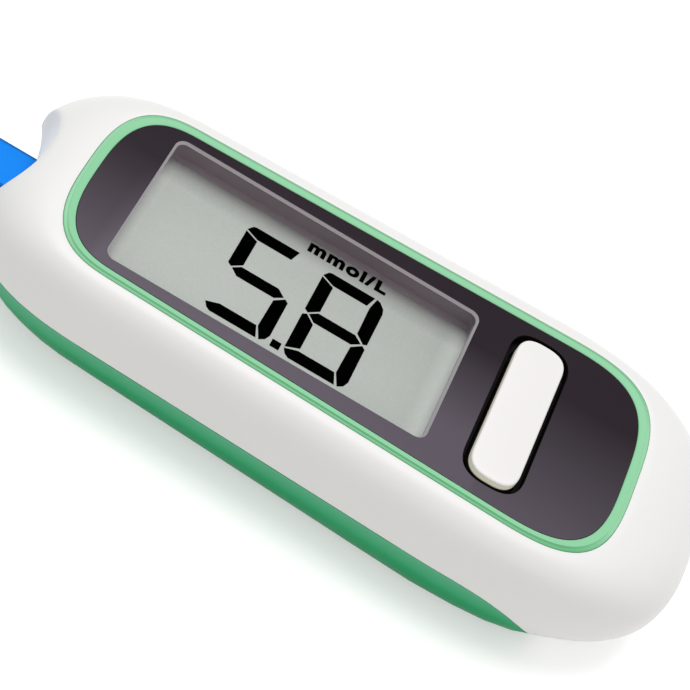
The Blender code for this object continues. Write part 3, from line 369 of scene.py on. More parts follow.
def wrapped(rings, paints=()):
    """Skin over rings of equally many points, each ring closed on itself, with a paint for each row."""
    bm = bmesh.new()
    columns = len(rings[0])
    rows = len(rings) - 1
    bmesh.ops.create_grid(bm, x_segments=columns, y_segments=rows, size=1.0)
    if paints:
        for face in bm.faces:
            face.material_index = paints[int((face.calc_center_median().y + 1) / 2 * rows)]
    for vert in bm.verts:
        column = round((vert.co.x + 1) / 2 * columns) % columns
        row = round((vert.co.y + 1) / 2 * rows)
        vert.co = rings[row][column]
    bmesh.ops.remove_doubles(bm, verts=bm.verts[:], dist=WELD)
    return bm


def closed(rings):
    """Solid over rings of points, with a flat face on the first and the last."""
    bm = wrapped(rings)
    open_edges = [edge for edge in bm.edges if edge.is_boundary]
    bmesh.ops.holes_fill(bm, edges=open_edges, sides=0)
    return bm


def prism(points, z_low, z_high):
    return closed([level(points, z_low), level(points, z_high)])


def block(x_span, y_span, z_span, corner=0.0):
    """Block between two limits on each axis, with its upright edges rounded if asked."""
    bm = bmesh.new()
    bmesh.ops.create_cube(bm, size=1.0)
    spans = (x_span, y_span, z_span)
    bmesh.ops.scale(bm, verts=bm.verts[:], vec=[high - low for low, high in spans])
    bmesh.ops.translate(bm, verts=bm.verts[:], vec=[(high + low) / 2 for low, high in spans])
    if corner > 0:
        height = z_span[1] - z_span[0]
        upright = [e for e in bm.edges if abs(e.verts[0].co.z - e.verts[1].co.z) > height / 2]
        bmesh.ops.bevel(
            bm, geom=upright, offset=corner, segments=BLOCK_CORNER_STEPS,
            affect="EDGES", profile=0.5, material=-1,
        )
    return bm


def between(inner, outer, share):
    return [(a + (c - a) * share, b + (d - b) * share) for (a, b), (c, d) in zip(inner, outer)]


def centred(middle, size):
    return (middle - size / 2, middle + size / 2)


def shaded(piece):
    piece.data.shade_smooth()
    piece.data.set_sharp_from_angle(angle=math.radians(SMOOTH_ANGLE))
    return piece


def new_piece(name, bm, finishes, body=None, place=TO_FRAME, outward=True):
    """Object from a mesh in millimetres about the body's middle, put in the frame and set to ride."""
    if outward:
        bmesh.ops.recalc_face_normals(bm, faces=bm.faces[:])
    bm.transform(place)
    mesh = bpy.data.meshes.new(name)
    bm.to_mesh(mesh)
    bm.free()
    piece = bpy.data.objects.new(name, mesh)
    bpy.context.scene.collection.objects.link(piece)
    for finish in finishes:
        mesh.materials.append(finish)
    if body is not None:
        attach(piece, body)
    return shaded(piece)


def settled(piece):
    """Makes the result of the modifiers the piece's own mesh."""
    graph = bpy.context.evaluated_depsgraph_get()
    mesh = bpy.data.meshes.new_from_object(piece.evaluated_get(graph), depsgraph=graph)
    piece.modifiers.clear()
    piece.data = mesh
    return shaded(piece)


def carve(piece, *cutters):
    """Cuts meshes in millimetres out of a piece for good."""
    made = []
    for index, bm in enumerate(cutters):
        cutter = new_piece(f"{piece.name}_cutter_{index}", bm, ())
        step = piece.modifiers.new(cutter.name, "BOOLEAN")
        step.operation = "DIFFERENCE"
        step.solver = "EXACT"
        step.object = cutter
        made.append(cutter)
    settled(piece)
    for cutter in made:
        bpy.data.objects.remove(cutter, do_unlink=True)
    return piece


def eased(piece, width):
    """Rounds the sharp edges of a piece."""
    step = piece.modifiers.new("eased_edges", "BEVEL")
    step.width = width * MM
    step.segments = EASE_SEGMENTS
    step.limit_method = "ANGLE"
    step.angle_limit = math.radians(SHARP_ANGLE)
    step.miter_outer = "MITER_ARC"
    return crisp(settled(piece))


def crisp(piece):
    """Keeps flat faces flat in their shading, beside rounded edges."""
    step = piece.modifiers.new("crisp_shading", "WEIGHTED_NORMAL")
    step.keep_sharp = True
    return piece


def dressed(node, body, finish, ease=0.0, shape=None):
    """Fine copy of a CAD node: loose triangles merged, flat faces joined, sharp edges eased."""
    bm = bmesh.new()
    bm.from_mesh(frame["nodes"][node].data)
    if shape is not None:
        for vert in bm.verts:
            vert.co = TO_FRAME @ shape(TO_FRAME.inverted() @ vert.co)
    bmesh.ops.remove_doubles(bm, verts=bm.verts[:], dist=NODE_WELD * MM)
    bmesh.ops.dissolve_limit(bm, angle_limit=math.radians(FLAT_ANGLE), verts=bm.verts[:], edges=bm.edges[:])
    piece = new_piece(f"{node}_dressed", bm, (finish,), body, place=Matrix.Identity(4), outward=False)
    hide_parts(node)
    return eased(piece, ease) if ease > 0 else crisp(piece)


# Finishes


class Signal:
    """A node's output that takes part in Python expressions, each of which adds its Math node."""

    def __init__(self, graph, socket):
        self.graph = graph
        self.socket = socket

    def math(self, operation, *terms):
        return self.graph.node("ShaderNodeMath", {"operation": operation}, dict(enumerate(terms)))

    def __add__(self, other):
        return self.math("ADD", self, other)

    def __radd__(self, other):
        return self.math("ADD", other, self)

    def __sub__(self, other):
        return self.math("SUBTRACT", self, other)

    def __rsub__(self, other):
        return self.math("SUBTRACT", other, self)

    def __mul__(self, other):
        return self.math("MULTIPLY", self, other)

    def __rmul__(self, other):
        return self.math("MULTIPLY", other, self)

    def __abs__(self):
        return self.math("ABSOLUTE", self)

    def spread(self, low, high, to_low=0.0, to_high=1.0):
        """Maps the range from low to high onto the one from to_low to to_high, clamped."""
        return self.graph.node(
            "ShaderNodeMapRange", {"clamp": True},
            {"Value": self, "From Min": low, "From Max": high, "To Min": to_low, "To Max": to_high},
        )

    def over(self, span, to_low=0.0, to_high=1.0):
        """Maps a span in millimetres onto the range from to_low to to_high, clamped."""
        return self.spread(span[0] * MM, span[1] * MM, to_low, to_high)

    def swing(self, low, high):
        """Maps the middle of a noise, where most of it lies, onto the range from low to high."""
        return self.spread(0.3, 0.7, low, high)


class Graph:
    """A node tree while it is built."""

    def __init__(self, tree):
        self.tree = tree

    def node(self, kind, settings=None, inputs=None, output=0):
        made = self.tree.nodes.new(kind)
        for key, value in (settings or {}).items():
            setattr(made, key, value)
        for key, value in (inputs or {}).items():
            if isinstance(value, Signal):
                self.tree.links.new(value.socket, made.inputs[key])
            else:
                made.inputs[key].default_value = value
        return Signal(self, made.outputs[output])

    def mix(self, factor, first, second):
        """Colour between two colours."""
        inputs = {0: factor}
        for key, value in ((6, first), (7, second)):
            inputs[key] = value if isinstance(value, Signal) else (*value, 1.0)
        return self.node("ShaderNodeMix", {"data_type": "RGBA"}, inputs, output=2)

    def shades(self, factor, base, low, high):
        """Colour between two shares of one base colour."""
        return self.mix(factor, tinted(base, low), tinted(base, high))

    def background_rays(self):
        """One or more for the rays that show the background: seen, mirrored or passed through."""
        seen, mirrored, passed = (
            self.node("ShaderNodeLightPath", output=f"Is {kind} Ray")
            for kind in ("Camera", "Glossy", "Transmission")
        )
        return seen + mirrored + passed


class Finish(Graph):
    """A procedural surface finish while it is built, on a Principled shader."""

    def __init__(self, name, **constants):
        self.material = bpy.data.materials.new(name)
        self.material.use_nodes = True
        super().__init__(self.material.node_tree)
        self.shader = self.tree.nodes["Principled BSDF"]
        for key, value in constants.items():
            self.shader.inputs[key.replace("_", " ")].default_value = value

    def place(self, scale=(1, 1, 1)):
        """Object coordinates, stretched."""
        spot = self.node("ShaderNodeTexCoord", output=3)
        return self.node("ShaderNodeMapping", inputs={"Vector": spot, "Scale": scale})

    def axis(self, name):
        spot = self.node("ShaderNodeTexCoord", output=3)
        return self.node("ShaderNodeSeparateXYZ", inputs={"Vector": spot}, output="XYZ".index(name))

    def noise(self, per_metre, detail=2.0, scale=(1, 1, 1)):
        return self.node(
            "ShaderNodeTexNoise", {"noise_dimensions": "3D"},
            {"Vector": self.place(scale), "Scale": per_metre, "Detail": detail},
        )

    def bump(self, height, depth):
        """Normal of a relief that is depth millimetres deep."""
        return self.node("ShaderNodeBump", inputs={"Height": height, "Distance": depth * MM})

    def set(self, **inputs):
        for key, value in inputs.items():
            self.tree.links.new(value.socket, self.shader.inputs[key.replace("_", " ")])
        return self.material


def tinted(value, share):
    return tuple(min(1.0, part * share) for part in value)


def moulded(name, base, roughness, grain=0.004, variation=0.02, ior=1.46):
    """Moulded plastic: faint clouding, polish that varies a little, and a very fine grain."""
    finish = Finish(name, IOR=ior)
    cloud = finish.noise(CLOUDS, detail=3.0)
    polish = finish.noise(POLISH, detail=2.0)
    skin = finish.noise(GRAIN, detail=2.0)
    return finish.set(
        Base_Color=finish.shades(cloud, base, 1 - variation, 1 + variation),
        Roughness=polish.swing(roughness - 0.03, roughness + 0.03),
        Normal=finish.bump(skin, grain),
    )


def metal(name, base, roughness, along=(1, 1, 1)):
    """Bare metal with fine drawing lines and uneven polish."""
    finish = Finish(name, Metallic=1.0)
    lines = finish.noise(1800.0, detail=3.0, scale=along)
    cloud = finish.noise(240.0)
    return finish.set(
        Base_Color=finish.shades(cloud, base, 0.9, 1.08),
        Roughness=lines.swing(roughness - 0.06, roughness + 0.08),
        Normal=finish.bump(lines, 0.004),
    )


def panel_print(name, base, painted_sheen_colour):
    """Glossy hard-coated print with faint smears, and a painted sheen, a painted reflection of the lamps,
    toward its near side and beside the window.
    """
    finish = Finish(name, IOR=1.255, Specular_Tint=(1.0, 0.86, 0.98, 1.0))
    smear = finish.noise(70.0, detail=4.0, scale=(1, 2.2, 1))
    ripple = finish.noise(160.0, detail=1.0)
    # Painted sheen: a painted reflection, lighter toward the near side and beside the window
    near_painted_sheen = finish.axis("Y").over(PRINT_PAINTED_SHEEN_ACROSS, 0.85, 0.0)
    away = abs(finish.axis("X") - frame_x(PRINT_PAINTED_SHEEN_MIDDLE))
    painted_sheen = (near_painted_sheen * away.over(PRINT_PAINTED_SHEEN_ENDS, 1.7, 1.0)).spread(0.0, 1.0)
    return finish.set(
        Base_Color=finish.mix(painted_sheen, finish.shades(smear, base, 0.9, 1.15), painted_sheen_colour),
        Roughness=smear.swing(0.16, 0.2),
        Normal=finish.bump(ripple, 0.004),
    )


def green_shell(name, base, painted_light_colour):
    """Moulded green plastic, with painted shade that darkens it toward the base and painted light that makes
    it paler where it meets the white cover.
    """
    finish = Finish(name, IOR=1.16)
    cloud = finish.noise(CLOUDS, detail=3.0)
    polish = finish.noise(POLISH, detail=2.0)
    skin = finish.noise(GRAIN, detail=2.0)
    ground = finish.shades(cloud, base, 0.97, 1.03)
    height = finish.axis("Z")
    # Painted shade toward the base, and painted light near the white cover
    deep = finish.mix(height.over(SHELL_PAINTED_SHADE), tinted(base, 0.58), ground)
    return finish.set(
        Base_Color=finish.mix(height.over(SHELL_PAINTED_LIGHT, 0.0, 0.16), deep, painted_light_colour),
        Roughness=polish.swing(0.37, 0.43),
        Normal=finish.bump(skin, 0.004),
    )


def window_wall(name, long_sides, ends, blend):
    """Wall or rim of the window, with painted light that makes it paler at its two ends, with the blend's
    limits from its middle.
    """
    finish = Finish(name, IOR=1.4)
    cloud = finish.noise(200.0, detail=3.0)
    skin = finish.noise(GRAIN)
    from_middle = abs(finish.axis("X") - frame_x(WINDOW_CENTRE))
    # Painted light at the two ends of the window
    tone = finish.mix(from_middle.over(blend), tinted(long_sides, 1.02), ends)
    mottled = finish.mix(cloud, tone, tinted(long_sides, 1.1))
    return finish.set(
        Base_Color=finish.mix(0.2, tone, mottled),
        Roughness=cloud.swing(0.55, 0.65),
        Normal=finish.bump(skin, 0.004),
    )


def trim_step(name, light, dark, painted_shade_far_share):
    """Outer part of the trim ring, with painted shade that darkens its near side, and its far side by a
    share.
    """
    finish = Finish(name, IOR=1.46)
    cloud = finish.noise(CLOUDS, detail=3.0)
    skin = finish.noise(GRAIN)
    side = finish.axis("Y")
    # Painted shade on the near side, and on the far side by a share
    depth = side.over(TRIM_PAINTED_SHADE_NEAR, 1.0, 0.0) + side.over(TRIM_PAINTED_SHADE_FAR, 0.0, painted_shade_far_share)
    return finish.set(
        Base_Color=finish.mix(depth, finish.shades(cloud, light, 0.98, 1.02), dark),
        Roughness=cloud.swing(0.29, 0.35),
        Normal=finish.bump(skin, 0.004),
    )


def clear_pane(name):
    """Clear window with faint smears, which mirrors nothing of its own."""
    finish = Finish(name, Alpha=0.05, IOR=1.0)
    finish.material.surface_render_method = "BLENDED"
    smear = finish.noise(90.0, detail=3.0)
    return finish.set(
        Base_Color=finish.mix(smear, (0.001, 0.0011, 0.001), (0.002, 0.0022, 0.002)),
        Roughness=smear.swing(0.04, 0.08),
    )


def display_face(name, base, wall_shade):
    """Grey reflective liquid crystal face with the fine speckle of its reflector, with painted shade that
    falls off across it, painted light at its two ends and a painted shadow of the window's far wall.
    """
    finish = Finish(name, IOR=1.2)
    speckle = finish.noise(SPECKLE, detail=1.0)
    cloud = finish.noise(70.0, detail=2.0)
    fleck = speckle.spread(0.35, 0.65)
    ground = finish.shades(cloud, base, 0.97, 1.03)
    lit = finish.mix(fleck, ground, finish.mix(0.5, ground, tinted(base, 1.12)))
    # Painted shade, darker toward the button end and the far side
    painted_shade_along = finish.axis("X").spread(*(frame_x(x) for x in DISPLAY_PAINTED_SHADE_ALONG), 0.0, 0.07)
    painted_shade_across = finish.axis("Y").over(DISPLAY_PAINTED_SHADE_ACROSS, 0.0, 0.09)
    # Painted light at the window's two ends
    place = finish.axis("X") - frame_x(WINDOW_CENTRE)
    ends = place.over(DISPLAY_PAINTED_LIGHT_BUTTON_END, 0.0, 0.62) + place.over(DISPLAY_PAINTED_LIGHT_PORT_END, 0.4, 0.0)
    lit = finish.mix(ends, finish.mix(painted_shade_along + painted_shade_across, lit, BLACK), tinted(base, 1.38))
    # Painted shadow of the window's far wall
    painted_wall_shadow = finish.axis("Y").over(DISPLAY_SHADE, 0.0, 0.75)
    return finish.set(
        Base_Color=finish.mix(painted_wall_shadow, lit, wall_shade),
        Roughness=speckle.swing(0.5, 0.62),
        Normal=finish.bump(speckle, 0.006),
    )


def display_ink(name, base):
    """Dark liquid crystal segments, with a trace of the reflector's speckle."""
    finish = Finish(name, IOR=1.0)
    fleck = finish.noise(SPECKLE, detail=1.0)
    return finish.set(
        Base_Color=finish.mix(fleck, base, tinted(base, 1.5)), Roughness=fleck.swing(0.45, 0.6),
    )


def button_cap(name, face, foot, painted_well_shade, painted_glow_colour):
    """Button, white on top, with a warm painted lower wall and a painted glow that stand in for the light
    from above shining through it, and near-black painted shade below the rim of its well.
    """
    finish = Finish(name, IOR=1.46, Emission_Strength=1.0)
    height = finish.axis("Z")
    cloud = finish.noise(60.0, detail=3.0)
    skin = finish.noise(GRAIN)
    # Painted warm light on the lower wall
    wall = finish.mix(height.over(CAP_WALL), foot, finish.shades(cloud, face, 0.985, 1.01))
    # Painted glow on the wall
    painted_glow = finish.mix(height.over(CAP_PAINTED_GLOW), painted_glow_colour, BLACK)
    # Painted shade, near black, below the rim of the well
    above_well = height.over(CAP_ABOVE_WELL)
    return finish.set(
        Base_Color=finish.mix(above_well, painted_well_shade, wall),
        Roughness=cloud.swing(0.36, 0.42),
        Normal=finish.bump(skin, 0.003),
        Emission_Color=finish.mix(above_well, BLACK, painted_glow),
    )


def film(name, base, edge_shade=0.0):
    """Printed plastic film with a faint lengthwise grain, whose long edges may carry a painted shade."""
    finish = Finish(name, IOR=1.16)
    grain = finish.noise(900.0, detail=2.0, scale=(0.2, 1, 1))
    tone = finish.shades(grain, base, 0.94, 1.04)
    if edge_shade > 0:
        # Painted shade along the long edges
        edge = abs(finish.axis("Y")).over(STRIP_SHADE, 0.0, edge_shade)
        tone = finish.mix(edge, tone, tinted(base, 0.45))
    return finish.set(Base_Color=tone, Roughness=grain.swing(0.3, 0.4), Normal=finish.bump(grain, 0.004))


def laminate(name):
    """Solder mask over copper tracks."""
    finish = Finish(name, IOR=1.5)
    pattern = {"Scale": 260.0, "Mortar Size": 0.035, "Brick Width": 0.9, "Row Height": 0.3}
    cells = finish.node(
        "ShaderNodeTexBrick", {"offset": 0.5, "squash": 1.4}, {"Vector": finish.place(), **pattern},
        output=1,
    )
    weave = finish.noise(1500.0)
    ground = finish.mix(weave, (0.015, 0.13, 0.05), (0.025, 0.19, 0.075))
    return finish.set(
        Base_Color=finish.mix(cells, ground, (0.05, 0.3, 0.11)),
        Roughness=weave.swing(0.35, 0.5),
        Normal=finish.bump(cells, 0.03),
    )


def glass_layer(name, base):
    finish = Finish(name, IOR=1.5)
    cloud = finish.noise(90.0)
    return finish.set(Base_Color=finish.shades(cloud, base, 0.95, 1.05), Roughness=cloud.swing(0.06, 0.12))


made_finishes = {}


def finish_of(name):
    """The finish of that name, made on its first use from the scene's colours."""
    if name not in made_finishes:
        colours = bpy.context.scene.meter_colours
        recipes = {
            "white_housing": lambda: moulded(name, colours.white, roughness=0.38),
            # Lower cover: painted shade toward the base, painted light by the white cover
            "green_housing": lambda: green_shell(name, colours.green, painted_light_colour=(0.7, 1.0, 0.95)),
            "mint_trim": lambda: moulded(name, colours.mint, roughness=0.36, ior=1.25),
            # Trim step and ledge: painted shade on the near side, and on the ledge's far side
            "mint_step_painted_shade": lambda: trim_step(name, colours.mint, colours.mint_step_painted_shade, painted_shade_far_share=0.0),
            "mint_ledge_painted_shade": lambda: trim_step(name, colours.mint, colours.mint_ledge_painted_shade, painted_shade_far_share=0.7),
            # Panel print: painted sheen toward the near side and beside the window
            "panel_print": lambda: panel_print(name, colours.panel, painted_sheen_colour=(0.092, 0.078, 0.1)),
            # Rim and bezel: painted light at the window's two ends
            "window_rim": lambda: window_wall(name, (0.34, 0.31, 0.33), (0.355, 0.347, 0.365), RIM_PAINTED_LIGHT),
            "window_bezel": lambda: window_wall(name, (0.24, 0.20, 0.225), (0.6, 0.57, 0.6), BEZEL_PAINTED_LIGHT),
            "clear_pane": lambda: clear_pane(name),
            # Display: painted shade, painted light at the ends and a painted shadow of the far wall
            "display_face": lambda: display_face(name, colours.display, wall_shade=(0.16, 0.145, 0.16)),
            "display_ink": lambda: display_ink(name, colours.ink),
            # Button: painted warm wall, painted glow, and painted shade below the well's rim
            "button_cap": lambda: button_cap(
                name, colours.button, colours.button_wall_painted_warmth,
                painted_well_shade=(0.012, 0.01, 0.009), painted_glow_colour=(0.15, 0.14, 0.105),
            ),
            "well_black": lambda: moulded(name, (0.006, 0.005, 0.005), roughness=0.6, ior=1.15),
            "black_plastic": lambda: moulded(name, (0.012, 0.011, 0.009), roughness=0.5),
            # Painted shade along the strip's long edges
            "strip_cover_film": lambda: film(name, colours.strip, edge_shade=0.9),
            "strip_base_film": lambda: film(name, colours.strip_edge),
            "steel": lambda: metal(name, (0.62, 0.62, 0.61), roughness=0.3),
            "cell_steel": lambda: metal(name, (0.66, 0.65, 0.63), roughness=0.28, along=(0.15, 1, 1)),
            "spring_gold": lambda: metal(name, (0.78, 0.57, 0.26), roughness=0.26),
            "circuit_laminate": lambda: laminate(name),
            "chip_epoxy": lambda: moulded(
                name, (0.018, 0.018, 0.02), roughness=0.6, grain=0.02, variation=0.15,
            ),
            "ceramic": lambda: moulded(name, (0.36, 0.25, 0.15), roughness=0.5, grain=0.01, variation=0.08),
            "connector_plastic": lambda: moulded(name, (0.6, 0.58, 0.5), roughness=0.45, grain=0.01),
            "conductive_rubber": lambda: moulded(
                name, (0.1, 0.1, 0.11), roughness=0.8, grain=0.02, variation=0.1,
            ),
            "display_glass": lambda: glass_layer(name, (0.45, 0.49, 0.46)),
        }
        made_finishes[name] = recipes[name]()
    return made_finishes[name]


def repaint(nodes):
    """Gives carried-over CAD nodes their finishes."""
    for node, name in nodes.items():
        for held in frame["nodes"][node].material_slots:
            held.material = finish_of(name)


# Shapes of the covers, the button and the window


@dataclass(frozen=True)
class Skin:
    """One skin of the body: an outline at the base, the widest level and the top, and sweeps between."""
    inset: float
    top_outline: Outline
    floor: float
    ceiling: float

    def outlines(self):
        return (
            BASE.grown(-self.inset).points(), BODY.grown(-self.inset).points(), self.top_outline.points(),
        )

    def point(self, low, wide, high, way):
        """Point on a meridian: way -1 is the spine, 0 the base edge, 1 the widest level and 2 the top."""
        if way < 0:
            spine_x = max(-SPINE_END, min(low[0], SPINE_END))
            return Vector((low[0] + (spine_x - low[0]) * -way, low[1] * (1 + way), self.floor))
        if way < 1:
            angle = 0.5 * math.pi * (1 - way)
            share = math.cos(angle) ** (2 / HULL_ROUND)
            z = PARTING_HEIGHT - (PARTING_HEIGHT - self.floor) * math.sin(angle) ** (2 / HULL_ROUND)
            edge = low
        else:
            angle = 0.5 * math.pi * min(way - 1, 1.0)
            share = max(math.cos(angle), 0.0) ** (2 / SHOULDER_ROUND)
            z = PARTING_HEIGHT + (self.ceiling - PARTING_HEIGHT) * math.sin(angle) ** (2 / SHOULDER_ROUND)
            edge = high
        return Vector((edge[0] + (wide[0] - edge[0]) * share, edge[1] + (wide[1] - edge[1]) * share, z))

    def rings(self, rows, lift):
        """Rings from the parting surface, lifted a little, to the top edge."""
        meridians = []
        for low, wide, high in zip(*self.outlines()):
            start = crossing(lambda way: above_parting(self.point(low, wide, high, way)) - lift)
            ways = [start + (2 - start) * row / rows for row in range(rows + 1)]
            points = [self.point(low, wide, high, way) for way in ways]
            meridians.append([scooped(bellied(point), self.inset) for point in points])
        return [list(ring) for ring in zip(*meridians)]


def above_parting(point):
    """Height of a point over the parting surface, which is flat and then drops to the base."""
    along = point.x - PARTING_DROP_START
    if along <= 0:
        return point.z - PARTING_HEIGHT
    drop = PARTING_DROP_END - PARTING_DROP_START
    reach = ((along / drop) ** PARTING_DROP_ROUND
             + (max(point.z, 0.0) / PARTING_HEIGHT) ** PARTING_DROP_ROUND) ** (1 / PARTING_DROP_ROUND)
    return (reach - 1) / reach * math.hypot(along, point.z) if reach > 0 else -drop


def crossing(height):
    """Way at which a meridian passes a height of nought, between the spine and the shoulder."""
    low, high = -1.0, 1.5
    for _ in range(HALVINGS):
        middle = (low + high) / 2
        if height(middle) < 0:
            low = middle
        else:
            high = middle
    return (low + high) / 2


def eased_step(value, start, end):
    """Goes softly from 0 at the start to 1 at the end."""
    share = min(max((value - start) / (end - start), 0.0), 1.0)
    return share * share * (3 - 2 * share)


def bellied(point):
    """Point of the hull moved outward where its lower half is fuller, toward the button end."""
    along = eased_step(point.x, BELLY_START, BELLY_FULL) * eased_step(point.x, BELLY_END, BELLY_FADE)
    low = eased_step(point.z, PARTING_HEIGHT, BELLY_LOW)
    width = BASE.reach_at(point.x)
    rim = eased_step(abs(point.y), width * BELLY_RIM[0], width * BELLY_RIM[1]) if width > 0 else 0.0
    return Vector((point.x, point.y + math.copysign(BELLY * along * low * rim, point.y), point.z))


def scooped(point, inset):
    """Point moved into the body where the scoop at the strip end takes it, as a soft maximum along X."""
    rise = max(0.0, point.z - PARTING_HEIGHT) / (BODY_HEIGHT - PARTING_HEIGHT)
    radius = SCOOP_RADIUS + inset
    if abs(point.y) >= radius:
        return point
    wall = SCOOP_CENTRE + math.sqrt(radius ** 2 - point.y ** 2) + SCOOP_LEAN * rise ** SCOOP_LEAN_POWER
    softness = CREST_SOFTNESS * rise ** 2 + WELD
    near = max(softness - abs(point.x - wall), 0.0) / softness
    x = max(point.x, wall) + near ** 2 * softness / 4
    return Vector((x, point.y, point.z))


def button_outline(grow, sizes, shift=BUTTON_SHIFT):
    half_length = sizes.button_length / MM / 2
    half_width = sizes.button_width / MM / 2
    shape = Outline(
        left=-half_length, right=half_length, half_width=half_width, taper=0.0,
        cap_left=half_width, cap_right=half_width, round_left=BUTTON_CORNER, round_right=BUTTON_CORNER,
    )
    return [(BUTTON_X - y, x + shift) for x, y in shape.grown(grow).points(*BUTTON_SIDE_STEPS)]


def opening_outline(sizes):
    return button_outline(OPENING_GAP, sizes, OPENING_SHIFT)


def window_block(sizes, grow, z_low, z_high):
    return block(
        centred(WINDOW_CENTRE, sizes.window_length / MM + 2 * grow),
        centred(0, sizes.window_width / MM + 2 * grow),
        (z_low, z_high), corner=WINDOW_CORNER + grow,
    )


def window_outline(sizes, grow):
    """Rounded rectangle of the window, grown or shrunk, in the same order of points every time."""
    half_x = sizes.window_length / MM / 2 + grow
    half_y = sizes.window_width / MM / 2 + grow
    corner = WINDOW_CORNER + grow
    points = []
    for quarter, (side_x, side_y) in enumerate(((1, 1), (-1, 1), (-1, -1), (1, -1))):
        for step in range(CORNER_STEPS + 1):
            angle = 0.5 * math.pi * (quarter + step / CORNER_STEPS)
            x = side_x * (half_x - corner) + corner * math.cos(angle)
            y = side_y * (half_y - corner) + corner * math.sin(angle)
            points.append((WINDOW_CENTRE + x, y))
    return points


# Build steps


class METER_OT_top_cover(bpy.types.Operator):
    """Build the white upper cover with its soft-crested scoop and the deck under the panel"""
    bl_idname = "meter.top_cover"
    bl_label = "Top cover"

    def execute(self, context):
        sizes = context.scene.meter_sizes
        edge = RING.grown(RING_GAP)
        outer = Skin(0.0, edge.grown(POCKET_LIP), 0.0, BODY_HEIGHT).rings(SKIN_ROWS, SEAM_GAP / 2)
        inner = Skin(WALL, RING.grown(SHOULDER_RELIEF), FLOOR, DECK_BOTTOM).rings(INNER_ROWS, SEAM_GAP / 2)
        pocket = [
            level(edge.grown(LIP_EDGE).points(), BODY_HEIGHT - LIP_EDGE),
            level(edge.points(), BODY_HEIGHT - POCKET_LIP),
            level(edge.points(), DECK_TOP),
        ]
        shell = closed([*reversed(inner), *outer, *pocket])
        cover = new_piece("top_cover_skin", shell, (finish_of("white_housing"),), "housing")
        deck_cut = (DECK_BOTTOM - CUT_THROUGH, DECK_TOP + CUT_THROUGH)
        slot_reach = (BODY.left - WALL, BODY.left + SCOOP_DEPTH + 2 * WALL)
        carve(
            cover,
            window_block(sizes, BEZEL_WALL, *deck_cut),
            prism(button_outline(DECK_HOLE_GAP, sizes, 0.0), *deck_cut),
            block(slot_reach, centred(0, SLOT_WIDTH), (SLOT_LOW, SLOT_HIGH)),
        )
        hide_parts("top_cover")
        return {"FINISHED"}


class METER_OT_bottom_cover(bpy.types.Operator):
    """Build the green lower cover with its battery bay, screw wells and posts"""
    bl_idname = "meter.bottom_cover"
    bl_label = "Bottom cover"

    def execute(self, context):
        cover = dressed(
            "bottom_cover", "housing", finish_of("green_housing"),
            shape=lambda point: scooped(bellied(point), SCOOP_LEDGE),
        )
        return {"FINISHED"}


class METER_OT_trim_ring(bpy.types.Operator):
    """Build the mint trim ring with its soft crest, outer slope and ledge"""
    bl_idname = "meter.trim_ring"
    bl_label = "Trim ring"

    paints = ("mint_trim", "mint_step_painted_shade", "mint_ledge_painted_shade")
    # Share of the way across the ring, height over the housing's top, and paint of the next band
    profile = (
        (RING_INNER_SHARE, RING_FOOT, 0), (RING_INNER_SHARE, -0.06, 0), (0.07, -0.01, 0), (0.12, 0.02, 0),
        (0.35, RING_CREST - 0.08, 0), (0.55, RING_CREST - 0.02, 0),
        (0.61, RING_CREST, 1), (0.65, RING_CREST - 0.02, 1),
        (0.74, 0.02, 2), (0.95, 0.0, 2), (0.98, -0.02, 2), (1.0, -0.06, 2),
        (1.0, RING_FOOT, 0), (RING_INNER_SHARE, RING_FOOT, 0),
    )

    def execute(self, context):
        inner, outer = PANEL.points(), RING.points()
        rings = [level(between(inner, outer, share), BODY_HEIGHT + rise) for share, rise, _ in self.profile]
        bm = wrapped(rings, [paint for _, _, paint in self.profile[:-1]])
        ring = new_piece("trim_ring", bm, [finish_of(name) for name in self.paints], "housing")
        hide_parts("bezel_ring")
        return {"FINISHED"}


